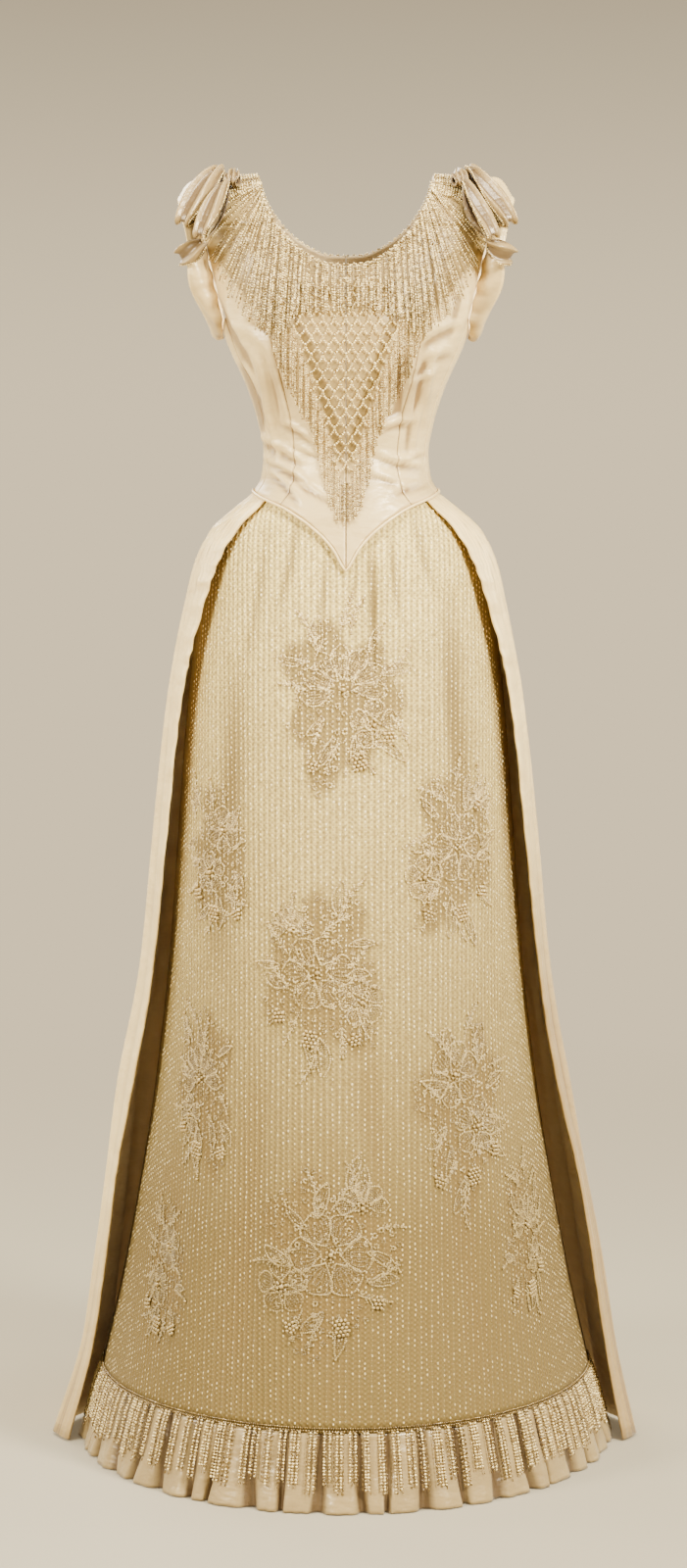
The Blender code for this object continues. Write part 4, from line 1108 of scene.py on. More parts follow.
def skirt_front():
    z = np.concatenate([np.linspace(SKIRT_TOP, -0.50, 40), np.linspace(-0.50, NET_HEM, 66)[1:]])[::-1, None]
    turn = np.concatenate([np.linspace(-PANEL_TURN, -50.0, 34), np.linspace(-50.0, 50.0, 92)[1:-1]])
    turn = np.concatenate([turn, np.linspace(50.0, PANEL_TURN, 34)])
    turn = np.broadcast_to(turn, (len(z), len(turn)))
    base = figure_point(turn, z)
    lift = panel_lift(turn, base[..., 0], z)
    out = normals(figure_point, turn, np.broadcast_to(z, turn.shape))
    outer = base + out * (PANEL_OUT + lift)[..., None]
    inner = base + out * (PANEL_OUT - SKIRT_WALL + 0.8 * lift)[..., None]
    _, run = edge_distance(base)
    centre = np.stack([np.interp(0.0, turn[0], row) for row in run])[:, None]
    uv = np.stack([run - centre, np.broadcast_to(z, turn.shape)], -1)
    # Painted shade: in the valleys of the net's creases, at its sides, as a painted shadow where the
    # overskirt's edge covers it at the hips, and under the sprays
    shade = ramp(-lift, 0.0022) * (np.abs(turn) < 96.0) * 0.8
    shade = np.maximum(shade, np.clip((np.abs(turn) - NET_SIDE_TURN) / 12.0, 0.0, 0.1))
    covered = ramp(np.abs(turn) - edge_turn(z) - 0.5, 3.0) * ramp(z + 0.95, 0.3)
    shade = np.maximum(shade, 0.85 * covered)
    shade = np.maximum(shade, 0.95 * under_sprays(uv[..., 0], z))
    piece = shell("skirt_front_cloth", outer, inner, [NETTING, INSIDE], shade=shade, uv=uv)
    return belongs(piece, "skirt_front"), outer


panel, panel_grid = skirt_front()

# Overskirt and train

# Long folds: turn, drift towards the floor, width, depth, and height where the fold begins
SIDE_FOLDS = {
    1: [
        (72.0, 3.0, 3.2, -0.003, -0.36), (80.0, 2.0, 2.6, 0.0026, -0.4),
        (88.0, -3.0, 3.4, -0.0036, -0.38), (104.0, 3.0, 4.0, 0.006, -0.42),
        (113.0, 2.0, 3.6, -0.005, -0.36), (121.0, -2.0, 4.2, 0.0056, -0.44),
        (130.0, 2.0, 3.6, -0.0046, -0.38),
    ],
    -1: [
        (74.0, 2.0, 3.0, -0.0026, -0.37), (83.0, 3.0, 3.0, 0.003, -0.42),
        (91.0, -2.0, 3.0, -0.0032, -0.37), (107.0, 2.0, 4.2, 0.0062, -0.4),
        (116.0, 3.0, 3.4, -0.0048, -0.38), (125.0, -3.0, 4.4, 0.0052, -0.4),
        (133.0, 1.0, 3.2, -0.004, -0.36),
    ],
}
TRAIN_FOLDS = [
    (-33.0, -2.0, 3.4, -0.0052, -0.36), (-26.0, 1.0, 3.0, 0.0044, -0.42),
    (-17.0, -2.0, 3.6, -0.0056, -0.37), (-9.0, -1.0, 3.0, 0.005, -0.4),
    (-1.0, 1.0, 3.2, -0.006, -0.36), (7.0, 2.0, 3.4, 0.0046, -0.44),
    (14.0, 1.0, 3.0, -0.005, -0.38), (22.0, 3.0, 3.8, 0.0052, -0.4),
    (30.0, 1.0, 3.0, -0.0048, -0.37),
]


def folded(turn, z, table):
    """Depth of the long folds, which grow from the waist to the floor."""
    depth = np.zeros(np.broadcast(turn, z).shape)
    for place, drift, width, deep, top in table:
        share = ramp(top - z, (top - FLOOR))
        centre = place + drift * share + 0.8 * np.sin(share * 9.0 + place)
        grow = ramp(top - z, 0.05) * (0.45 + 0.9 * share)
        depth += deep * grow * hump(turn - centre, width)
    return depth


BAND_COLUMNS = ("height", "width", "second", "pucker")
BANDS = {
    1: [
        (-0.302, 0.01, 0.018, 0.0), (-0.345, 0.018, 0.03, 0.6), (-0.4, 0.026, 0.042, 1.0),
        (-0.5, 0.024, 0.042, 0.8), (-0.7, 0.02, 0.034, 0.5), (-1.0, 0.018, 0.026, 0.3),
        (-1.38, 0.016, 0.02, 0.2),
    ],
    -1: [
        (-0.302, 0.01, 0.02, 0.0), (-0.345, 0.02, 0.034, 0.8), (-0.4, 0.027, 0.046, 1.2),
        (-0.5, 0.023, 0.038, 1.0), (-0.7, 0.018, 0.026, 0.5), (-1.0, 0.016, 0.022, 0.4),
        (-1.38, 0.017, 0.022, 0.2),
    ],
}
FLARE_COLUMNS = ("height", "out")
FLARES = {
    1: [(-0.302, 0.0), (-0.90, 0.0), (-1.00, 0.004), (-1.06, 0.008), (-1.17, 0.014), (-1.38, 0.016)],
    -1: [(-0.302, 0.0), (-0.85, 0.0), (-1.00, 0.005), (-1.10, 0.006), (-1.25, 0.006), (-1.38, 0.016)],
}
OVER_ROWS = 106
HIP_ROWS = 46
HIP_LEVEL = -0.52
TRAIN_HALF = 39.9


def stood(grid):
    """Cloth that reaches the floor and stays above it."""
    grid[..., 2] = np.maximum(grid[..., 2], FLOOR + 0.0004)
    return grid


def over_levels():
    """Heights of the rows, closest together at the hips."""
    hips = np.linspace(SKIRT_TOP, HIP_LEVEL, HIP_ROWS)
    below = np.linspace(HIP_LEVEL, FLOOR, OVER_ROWS - HIP_ROWS + 1)[1:]
    return np.concatenate([hips, below])[::-1, None]


def overskirt(side, tag):
    z = over_levels()
    last = TRAIN_TURN - gap_turn(TRAIN_TURN + 0.0 * z, z, SEAM_GAP / 2)
    u = np.linspace(0.0, 1.0, 92) ** 1.35
    turn = edge_turn(z) + (last - edge_turn(z)) * u
    base = over_point(turn, z)
    out = normals(over_point, turn, np.broadcast_to(z, turn.shape))
    _, run = edge_distance(base)
    band = curves(BANDS[side], BAND_COLUMNS)
    wide = band["width"](z)
    second = band["second"](z)
    fade = ramp(-z - 0.31, 0.05)
    lift = folded(turn, z, SIDE_FOLDS[side]) * ramp(run, 0.05)
    top = 0.0016 / (1.0 + np.exp((run - wide) / 0.0006))
    top = top + 0.0012 / (1.0 + np.exp((run - second) / 0.0008))
    roll = 0.0012 * hump(run - 0.004, 0.004)
    pucker = band["pucker"](z) * 0.0011 * np.sin(z * 260.0 + 2.0 * np.sin(z * 61.0)) * hump(run, wide)
    gather = 0.0014 * np.sin(turn * 2.1 + side) * ramp(z + 0.46, 0.12) * ramp(run, 0.02)
    flare = curves(FLARES[side], FLARE_COLUMNS)["out"](z) * np.exp(-((run / 0.24) ** 4))
    lift = lift + (top + roll + pucker) * fade + gather + flare
    outer = stood(base + out * (lift - LAYER_GAP)[..., None])
    inner = stood(base + out * (0.8 * lift + 0.2 * flare - LAYER_GAP - SKIRT_WALL)[..., None])
    mirror = MIRROR[side]
    # Painted shade: a line along the turned-back band's inner edges, where the hem flares out, and near the
    # front edge on the side away from the light, from the hips down on the wearer's left piece and only
    # near the floor on the right one
    groove = hump(run - wide - 0.0012, 0.0014) + 0.8 * hump(run - second - 0.001, 0.0014)
    shade = ramp(0.55 * groove * fade + np.clip((flare - lift) / 0.006, 0.0, 0.5))
    side_shade, start, reach = {1: (0.8, -0.60, 0.30), -1: (0.6, -1.08, 0.25)}[side]
    side_shade = side_shade * ramp(start - z, reach) * hump(run, 0.10)
    shade = ramp(shade + side_shade)
    node = f"overskirt_{tag}"
    outer, inner = outer * mirror, inner * mirror
    cloth(node + "_cloth", node, outer, inner, [SATIN, INSIDE], "gathered", ["basque_cord"], shade=shade)


def train():
    z = over_levels()
    gap = gap_turn(TRAIN_TURN + 0.0 * z, z, SEAM_GAP / 2)
    turn = (TRAIN_TURN + gap) + (360.0 - 2.0 * (TRAIN_TURN + gap)) * np.linspace(0.0, 1.0, 112)
    back = turn - 180.0
    turn = np.where(turn > 180.0, turn - 360.0, turn)
    level = np.broadcast_to(z, turn.shape)
    base = over_point(turn, z)
    out = grid_normals(base)
    out = out * np.where(out[..., 1:2] < 0, -1.0, 1.0)
    lift = folded(back, z, TRAIN_FOLDS)
    lift = lift + 0.0016 * np.sin(back * 1.9) * ramp(level + 0.48, 0.14)
    lift = lift * ramp(TRAIN_HALF - np.abs(back), 3.0)
    outer = stood(base + out * (lift - LAYER_GAP)[..., None])
    inner = stood(base + out * (0.8 * lift - LAYER_GAP - SKIRT_WALL)[..., None])
    shade = np.clip(-lift / 0.007, 0.0, 0.5)
    mats = [SATIN, INSIDE]
    cloth("train_cloth", "train", outer, inner, mats, "gathered", ["basque_cord"], shade=shade)


for tag, side in SIDES:
    overskirt(side, tag)
train()

# Frill at the hem

# One pleat: share of its width, and depth
PLEAT = [
    (0.0, 0.0), (0.1, -0.1), (0.24, -0.17), (0.38, -0.17), (0.52, -0.12), (0.61, -0.02),
    (0.65, 0.16), (0.71, 0.62), (0.77, 0.94), (0.83, 1.0), (0.89, 0.86), (0.95, 0.34),
]
RUFFLE_WALL = 0.0012
RUFFLE_DEPTH = 0.0100
RUFFLE_SPREAD = 0.0060
RUFFLE_FADE = 12.0


def frill():
    chance = random.Random(5)
    turns = []
    depths = []
    starts = [n + chance.uniform(-0.20, 0.20) * (0 < n < RUFFLE_PLEATS) for n in range(RUFFLE_PLEATS + 1)]
    for n in range(RUFFLE_PLEATS):
        deep = chance.uniform(0.80, 1.12)
        for share, depth in PLEAT:
            at = starts[n] + (starts[n + 1] - starts[n]) * share
            turns.append(RUFFLE_TURN * (2.0 * at / RUFFLE_PLEATS - 1.0))
            depths.append(depth * deep)
    turns = np.array(turns + [RUFFLE_TURN])
    depths = np.array(depths + [0.0])
    share = np.linspace(1.0, 0.0, 26)[:, None]
    z = NET_HEM - SEAM_GAP + (FLOOR - NET_HEM + SEAM_GAP) * share
    lean = 1.1 * np.sin(turns * 0.31 + 1.0) * share**2
    turn = np.clip(turns + lean, -RUFFLE_TURN, RUFFLE_TURN)
    fade = np.minimum(1.0, (RUFFLE_TURN - np.abs(turns)) / RUFFLE_FADE)
    deep = RUFFLE_DEPTH * (0.25 + 0.75 * share)
    spread = RUFFLE_SPREAD * share * (0.4 + 0.6 * fade)
    wave = 0.0016 * np.sin(turns * 0.53 + 3.0 * share) * share * fade
    wave = wave + 0.0011 * np.sin(turns * 1.9 + 7.0 * share + 1.3 * np.sin(turns * 0.7)) * share * fade
    away = PANEL_OUT + spread - deep * depths * fade + wave
    outer = stood(figure_out(turn, np.broadcast_to(z, turn.shape), away))
    level = np.gradient(outer, axis=1) * np.array([1.0, 1.0, 0.0])
    out = unit(np.cross(level, UP))
    inner = stood(outer - out * RUFFLE_WALL)
    shade = ramp(depths - 0.1, 0.45) * fade * np.ones_like(z)
    rests_on = ["skirt_front_cloth"]
    cloth("hem_frill", "hem_ruffle", outer, inner, [FRILL_SATIN], "gathered", rests_on, shade=shade)


frill()

# Shoulder bows

# Root, tip and way out of each loop, then its puff, width, twist and folds
BOW_PLACES = {
    "outer_loop": ((0.1303, -0.0199, 0.0061), (0.1713, -0.0579, -0.0519), (0.34, -0.84, 0.38)),
    "inner_loop": ((0.1246, -0.0442, -0.0083), (0.1526, -0.0822, -0.0658), (0.30, -0.85, 0.40)),
    "lower_loop": ((0.1464, -0.0672, -0.0670), (0.1734, -0.0552, -0.0810), (0.30, -0.90, -0.20)),
    "knot": ((0.1169, -0.0253, 0.0040), (0.1209, -0.0413, -0.0090), (0.10, -0.60, 0.90)),
}
BOW_FORMS = {
    "outer_loop": (0.016, 0.028, 0.05, 1.5),
    "inner_loop": (0.014, 0.021, 0.15, 1.3),
    "lower_loop": (0.013, 0.023, 0.10, 1.2),
    "knot": (0.009, 0.017, 0.00, 3.0),
}
RIBBON_WALL = 0.0012
LOOP_ROUND = 56
LOOP_ACROSS = 17
LOOP_EDGE_BEAD = 0.00105


def ribbon_loop(name, root, tip, out, puff, width, twist, folds, side, tag):
    """A loop of ribbon with folds along it, open at both sides, and beads along its outer edge."""
    root = np.array(root)
    tip = np.array(tip)
    along = unit(tip - root)
    out = np.array(out)
    out = unit(out - (out @ along) * along)
    across = np.cross(along, out)
    length = float(np.linalg.norm(tip - root))
    t = around(LOOP_ROUND)
    share = np.linspace(-0.5, 0.5, LOOP_ACROSS)[:, None]
    run = 0.5 * (1.0 - np.cos(t))
    narrow = 0.30 + 0.70 * np.sin(np.pi * (0.04 + 0.78 * run))
    cup = puff * 0.20 * (1.0 - (2.0 * share) ** 2)
    phase = 2.0 * np.pi * folds * share + 0.8 * side + 2.6 * run * side
    ripple = np.cos(phase + 0.6 * np.sin(phase)) * (1.0 - 0.25 * run)
    ripple = width * (0.125 * ripple + 0.014 * np.sin(2.1 * phase + 2.0))
    flat = np.sin(t)
    centre = root + along * (length * run)[:, None] + out * (puff * 0.5 * (1.0 + flat))[:, None]
    side_way = share * width * narrow + twist * puff * np.sin(np.pi * run)
    grid = centre[None] + across * side_way[..., None] + out * (cup * flat)[..., None]
    face = unit(along * (-np.cos(t) * puff * 0.5)[:, None] + out * (flat * length * 0.5)[:, None])
    mirror = MIRROR[side]
    outer = (grid + face[None] * (RIBBON_WALL / 2 + ripple)[..., None]) * mirror
    inner = (grid + face[None] * (ripple - RIBBON_WALL / 2)[..., None]) * mirror
    node = f"bow_{name}_{tag}"
    valley = ramp(-ripple, (width * 0.085)) ** 1.5
    shade = ramp(0.80 * valley + ramp(-flat - 0.2) * 0.7)
    cut = np.swapaxes(outer, 0, 1)
    cloth(node + "_ribbon", node, outer, inner, [RIBBON], "folded", closed=True, cut=cut, shade=shade)
    top = np.flatnonzero(flat > -0.25)
    return outer[-1, top] + face[top] * mirror * LOOP_EDGE_BEAD * 1.2


def bow(side, tag):
    edging = Beads()
    for name, places in BOW_PLACES.items():
        edge = ribbon_loop(name, *places, *BOW_FORMS[name], side, tag)
        if name != "knot":
            edging.put(along_path(edge, 2.3 * LOOP_EDGE_BEAD)[0], LOOP_EDGE_BEAD)
    belongs(edging.piece(f"bow_edging_{tag}", [PEARL]), f"bow_outer_loop_{tag}")


for tag, side in SIDES:
    bow(side, tag)

# Bead fringes

PEARL_SIZE = 0.00128
GLASS_SIZE = 0.00058
GLASS_LONG = 3.9
STRAND_ROWS = np.linspace(0.0, 1.0, 15)


def strand(beads, path, pearls, size=1.0):
    """One strand on a path: round pearls, or thin long glass beads."""
    if pearls:
        places, _ = along_path(path, 2.16 * PEARL_SIZE * size)
        beads.put(places, PEARL_SIZE * size, 0)
    else:
        places, way = along_path(path, 2.08 * GLASS_SIZE * GLASS_LONG * size)
        beads.put(places, GLASS_SIZE * size, 1, way, GLASS_LONG)


# Columns of a group side by side: P a column of pearls, g a thin strand of glass
GROUPS = ["PPg", "gPPg", "PPPgg", "Pgg", "PPgg", "gPPPg"]
HEM_RIMS = [(0.0022, 1.05), (0.0052, 0.85)]
HEM_GROUPS = ["gPPg", "PggPg", "PPgg", "gPgPgg", "PPgPg", "ggPggg", "gPPPg"]
COLUMN_WIDTH = {"P": 0.00235, "g": 0.00125}


def columns_along(length, chance, gap=0.0014):
    """Places of the fringe's columns along an edge, group by group."""
    at = 0.0
    row = []
    while at < length:
        for kind in chance.choice(GROUPS):
            at += COLUMN_WIDTH[kind]
            row.append((at - COLUMN_WIDTH[kind] / 2, kind == "P"))
        at += gap * chance.uniform(0.4, 1.6)
    return row


YOKE_END_COLUMNS = ("share", "end_x", "end_z")
FRONT_ENDS = [
    (0.0, 0.0, -0.14), (0.14, 0.024, -0.141), (0.28, 0.047, -0.144), (0.38, 0.06, -0.156),
    (0.47, 0.071, -0.167), (0.55, 0.082, -0.161), (0.62, 0.092, -0.152), (0.69, 0.105, -0.139),
    (0.76, 0.121, -0.119), (0.82, 0.134, -0.093), (0.87, 0.143, -0.065), (0.92, 0.1475, -0.04),
]
BACK_ENDS = [
    (0.0, 0.0, -0.129), (0.3, 0.045, -0.123), (0.47, 0.07, -0.114), (0.69, 0.102, -0.096),
    (0.82, 0.13, -0.074), (0.92, 0.1475, -0.04),
]


def neck_line(share_down, surface):
    """Half of the neck's edge as a path on the dress, from the centre to the shoulder."""
    x = np.linspace(0.0, 0.0915, 90)
    z = neck_height(x) * share_down
    line = surface(x, z, np.zeros(len(x)))
    return x, z, run_of(line)


def yoke_fringe(name, node, surface, share_down, table, hang, seed, gap):
    """Strands that spread from the neck's edge, in groups, with ragged ends."""
    chance = random.Random(seed)
    ends = curves(table, YOKE_END_COLUMNS)
    x, z, run = neck_line(share_down, surface)
    beads = Beads()
    picot = np.interp(np.arange(0.0, run[-1] * 0.93, 0.0021), run, x)
    for way in (1, -1):
        rise = 0.0010 * np.sin(np.arange(len(picot)) * 1.9) - 0.0002
        rim = surface(way * picot, neck_height(picot) * share_down + rise, np.full(len(picot), 0.0026))
        beads.put(rim, PEARL_SIZE * 0.95, 0)
        for at, pearls in columns_along(run[-1] * 0.92, chance, gap):
            share = at / run[-1]
            root_x = np.interp(at, run, x)
            root_z = np.interp(at, run, z) - 0.0012
            end_x = float(ends["end_x"](share)) + chance.uniform(-0.0012, 0.0012)
            end_z = float(ends["end_z"](share)) + chance.uniform(-0.0035, 0.0045)
            if not pearls:
                end_z -= 0.0025
            bend = chance.uniform(-0.0010, 0.0010)
            line_x = root_x + (end_x - root_x) * STRAND_ROWS + bend * np.sin(np.pi * STRAND_ROWS)
            line_z = root_z + (end_z - root_z) * STRAND_ROWS
            line_x = np.minimum(line_x, 0.1482)
            out = 0.0030 + (hang - 0.0030) * ramp(STRAND_ROWS - 0.15, 0.4)
            out = out + chance.uniform(-0.0004, 0.0006)
            path = surface(way * line_x, line_z, out)
            strand(beads, path, pearls)
            if chance.random() < 0.55 and share < 0.88:
                filler = surface(way * (line_x + 0.0016), line_z, out - 0.0009)
                strand(beads, filler[6:], not pearls, 0.92)
    return belongs(beads.piece(name, [PEARL, GLOSSY]), node)


yoke_fringe("yoke_beads_front", "yoke_fringe_front", front_out, 1.0, FRONT_ENDS, 0.0072, 3, 0.0014)
yoke_fringe("yoke_beads_back", "yoke_fringe_back", back_out, BACK_NECK_SHARE, BACK_ENDS, 0.0042, 4, 0.0030)


def shoulder_fringe(side, tag):
    """The yoke's strands over the shoulder, from the neck's edge to the armhole."""
    chance = random.Random(6 + side)
    beads = Beads()
    mirror = MIRROR[side]
    swing = -52.0
    while swing < 52.0:
        pearls = chance.random() < 0.62
        swing += 2.9 if pearls else 1.7
        line = swing * (1.0 + 0.42 * STRAND_ROWS)
        start = float(strap_inner(np.array(swing))) + 0.0012
        end = STRAP_OUTER - 0.001 - chance.uniform(0.0, 0.004)
        x = start + (end - start) * STRAND_ROWS
        out = 0.0031 + 0.0008 * np.sin(np.pi * STRAND_ROWS) + chance.uniform(-0.0003, 0.0005)
        strand(beads, strap_out(x, line, out) * mirror, pearls)
    belongs(beads.piece(f"shoulder_beads_{tag}", [PEARL, GLOSSY]), f"shoulder_{tag}")


def stomacher_fringe(side, tag):
    """Strands that hang straight down along one edge of the V."""
    chance = random.Random(21 + side)
    beads = Beads()
    for at, pearls in columns_along(0.0735, chance, 0.0004):
        x = 0.0758 - at
        top = float(stomacher_height(np.array(max(0.001, x - 0.0030)))) - 0.001
        low = float(v_fringe_end(np.array(x))) + chance.uniform(-0.004, 0.006)
        if top - low < 0.004:
            continue
        z = top + (low - top) * STRAND_ROWS
        sway = chance.uniform(-0.0006, 0.0006) * np.sin(np.pi * STRAND_ROWS)
        line = np.maximum(x + sway, 0.0012)
        out = 0.0036 + 0.0010 * np.sin(np.pi * STRAND_ROWS) + chance.uniform(0.0, 0.0006)
        strand(beads, front_out(side * line, z, out), pearls, 0.92)
    belongs(beads.piece(f"stomacher_beads_{tag}", [PEARL, GLOSSY]), f"stomacher_fringe_{tag}")


for tag, side in SIDES:
    shoulder_fringe(side, tag)
    stomacher_fringe(side, tag)

NET_CELL_WIDTH = 0.0118
NET_CELL_HEIGHT = 0.0190
NET_TOP = -0.117
NET_SAG = 0.0012
NET_BEAD = 0.00125


def stomacher_net():
    """Looped netting of beads, with a larger bead where the loops meet."""
    half_w = NET_CELL_WIDTH / 2
    half_h = NET_CELL_HEIGHT / 2
    edges = set()
    for row in range(0, 22):
        for col in range(-11, 12):
            z = NET_TOP - row * half_h
            if (row + col) % 2 == 1 and abs(col * half_w) <= stomacher_half(np.array(z)) - 0.2 * half_w:
                for way in (-1, 1):
                    edges.add(((col + way, row - 1), (col, row)))
                    edges.add(((col, row), (col + way, row + 1)))
    beads = Beads()
    corners = set()
    share = np.linspace(0.0, 1.0, 13)
    for (col_a, row_a), (col_b, row_b) in sorted(edges):
        x = (col_a + (col_b - col_a) * share) * half_w
        z = NET_TOP - (row_a + (row_b - row_a) * share) * half_h
        x = x + NET_SAG * (col_b - col_a) * np.sin(np.pi * share) * -0.8
        z = z - NET_SAG * np.sin(np.pi * share)
        if np.abs(x[6]) > stomacher_half(z[6:7])[0] + 0.002 or z[6] < -0.312:
            continue
        corners.update([(col_a, row_a), (col_b, row_b)])
        path = front_out(x, z, 0.0040 + 0.0008 * np.sin(np.pi * share))
        places, _ = along_path(path, 2.0 * NET_BEAD)
        beads.put(places, NET_BEAD, (np.arange(len(places)) % 3 == 1).astype(int))
    for col, row in sorted(corners):
        place = front_out(np.array([col * half_w]), np.array([NET_TOP - row * half_h]), np.array([0.0045]))
        beads.put(place, 1.45 * NET_BEAD, 1)
    belongs(beads.piece("stomacher_loops", [GOLD, PEARL]), "stomacher_net")


stomacher_net()


HEM_TURN = 92.0


def hem_fringe():
    """Clusters of strands hanging from the net's hem in front of the frill."""
    chance = random.Random(31)
    beads = Beads()
    row = RUNS[-1]
    at = float(np.interp(-HEM_TURN, TURNS, row))
    end = float(np.interp(HEM_TURN, TURNS, row))
    while at < end:
        tall = chance.uniform(0.050, 0.065)
        for kind in chance.choice(HEM_GROUPS):
            at += (1.32 if kind == "P" else 1.0) * COLUMN_WIDTH[kind]
            turn = float(np.interp(at, row, TURNS))
            low = NET_HEM + 0.002 - tall - chance.uniform(-0.002, 0.003) - (0.003 if kind == "g" else 0.0)
            z = NET_HEM + 0.002 + (low - NET_HEM - 0.002) * STRAND_ROWS
            share = ramp(NET_HEM - z, (NET_HEM - FLOOR))
            lean = chance.uniform(-0.10, 0.10) * STRAND_ROWS
            out = PANEL_OUT + 0.0013 + RUFFLE_SPREAD * share + 0.0020 * np.minimum(1.0, 4.0 * STRAND_ROWS)
            strand(beads, figure_out(turn + lean, z, out), kind == "P", 1.18 if kind == "P" else 1.0)
        at += chance.uniform(0.0010, 0.0095)
    rim = np.linspace(-PANEL_TURN + 14.0, PANEL_TURN - 14.0, 900)
    for height, size in HEM_RIMS:
        path = figure_out(rim, np.full(len(rim), NET_HEM + height), np.full(len(rim), PANEL_OUT + 0.0012))
        beads.put(along_path(path, 2.3 * PEARL_SIZE * size)[0], PEARL_SIZE * size, 1)
    return belongs(beads.piece("hem_strands", [PEARL, GLOSSY, GOLD]), "hem_fringe")


hem_strands = hem_fringe()

# Beads on the net: upright rows, and sprays of flowers

ROW_BEAD = 0.00088
ROW_BEAD_LONG = 1.55
ROW_TOP = -0.345
BRIGHT_SHARE = 0.36


def net_rows(side, tag):
    rows = int(RUNS[-1, -1] / ROW_PITCH)
    n = np.arange(0 if side > 0 else 1, rows + 1)
    heights = np.arange(ROW_TOP, NET_HEM + 0.008, -ROW_BEAD_PITCH)
    s, z = np.meshgrid(side * n * ROW_PITCH, heights, indexing="ij")
    z = z - (np.arange(len(n)) % 2)[:, None] * ROW_BEAD_PITCH * 0.5
    s = s.ravel()
    z = z.ravel()
    level = np.clip(np.interp(-z, -LEVELS, np.arange(len(LEVELS))).astype(int), 0, len(LEVELS) - 1)
    inside = np.abs(s) < RUNS[level, -1] - 0.004
    s = s[inside]
    z = z[inside]
    turn = np.abs(panel_turn(s, z))
    keep = (turn < NET_SIDE_TURN) & (turn < edge_turn(z) + 9.0) & (z < basque_height(turn) - 0.004)
    s = s[keep]
    z = z[keep]
    chance = np.random.default_rng(8 + side)
    s = s + chance.normal(0.0, 0.00022, len(s)) + 0.0007 * np.sin(z * 31.0 + np.round(s / ROW_PITCH) * 1.7)
    bright = (chance.random(len(s)) < BRIGHT_SHARE).astype(int)
    size = ROW_BEAD * (0.88 + 0.24 * chance.random(len(s)) + 0.12 * bright)
    beads = Beads()
    places, out = panel_place(s, z, 0.0002 + 0.0003 * bright)
    beads.put(places, size, bright, out, ROW_BEAD_LONG)
    return belongs(beads.domes(f"net_rows_{tag}", [GRAIN, GLINT]), "skirt_front")


class Drawing:
    """Bead lines of one spray in its own flat measure, laid on the net at the end."""

    def __init__(self, s, z, lean):
        self.s = s
        self.z = z
        self.turn = np.array([[math.cos(lean), -math.sin(lean)], [math.sin(lean), math.cos(lean)]])
        self.small = []
        self.pearls = []

    def line(self, path, size, bright=1):
        path = np.asarray(path) @ self.turn.T
        path = np.concatenate([path, np.zeros((len(path), 1))], 1)
        places, _ = along_path(path, 2.1 * size)
        self.small.append((places[:, :2], size, bright))

    def pearl(self, a, b, size):
        self.pearls.append((np.array([[a, b]]) @ self.turn.T, size))

    def laid(self, places, lift):
        """Places of the drawing on the net, and the ways out of it."""
        return panel_place(self.s + places[:, 0], np.minimum(self.z + places[:, 1], SPRAY_TOP), lift)

    def lay(self, small, pearls, chance):
        for places, size, bright in self.small:
            places = places + chance.normal(0.0, 0.00015, places.shape)
            where, out = self.laid(places, 0.0008)
            kind = (chance.random(len(places)) < (0.80 if bright else 0.06)).astype(int)
            small.put(where + out * 0.0005 * bright, size * (0.95 + 0.15 * bright), kind, out)
        for places, size in self.pearls:
            pearls.put(self.laid(places, 0.0006 + 0.8 * size)[0], size)


SPRAY_TOP = -0.425
SMALL = 0.00106
PEARL_SMALL = 0.0016
PEARL_LARGE = 0.0026


def away_from(centre, angle, reach, rise=None):
    """The place at a reach from a centre; rise is the reach upwards if that differs."""
    rise = reach if rise is None else rise
    return centre[0] + reach * math.cos(angle), centre[1] + rise * math.sin(angle)


def leaf(drawing, base, angle, length, width, lines, blunt=1.0):
    """A leaf or petal filled with lines of beads between its two edges."""
    t = np.linspace(0.0, 1.0, 20)
    swell = np.sin(np.pi * t**blunt) ** 0.8
    c = math.cos(angle)
    s = math.sin(angle)
    for k in range(lines):
        way = 2.0 * k / (lines - 1.0) - 1.0
        a = length * t * (1.0 - 0.10 * (1.0 - abs(way)))
        b = 0.5 * width * swell * way + 0.06 * length * np.sin(np.pi * t)
        path = np.stack([base[0] + a * c - b * s, base[1] + a * s + b * c], 1)
        edge = k in (0, lines - 1)
        drawing.line(path if edge else path[3:-3], SMALL, int(edge))


def bloom(drawing, centre, size, petals, spin, spread):
    """A flower with broad petals round a cluster of pearls."""
    for k in range(petals):
        angle = spin + spread * (k + 0.5) / petals - spread / 2.0
        base = away_from(centre, angle, 0.22 * size)
        leaf(drawing, base, angle, 0.80 * size, 0.80 * size * min(1.0, spread / petals), 8, 1.35)
    for k in range(6):
        angle = spin + k * math.pi / 3.0
        drawing.pearl(*away_from(centre, angle, 1.9 * PEARL_LARGE), PEARL_SMALL)
    drawing.pearl(centre[0], centre[1], PEARL_LARGE)


def cluster(drawing, top, angle, rows, size):
    """Pearls packed like a round bunch of berries."""
    c = math.cos(angle)
    s = math.sin(angle)
    reach = 0.5 * rows
    for row in range(-3, 4):
        for k in range(-4, 5):
            a = row * 1.78
            b = (k + 0.5 * (row % 2)) * 2.16
            if math.hypot(a, b) < 2.0 * reach * (1.0 if a < 0 else 0.85):
                a, b = (a + 2.0 * reach) * size, b * size
                drawing.pearl(top[0] + a * c - b * s, top[1] + a * s + b * c, size)


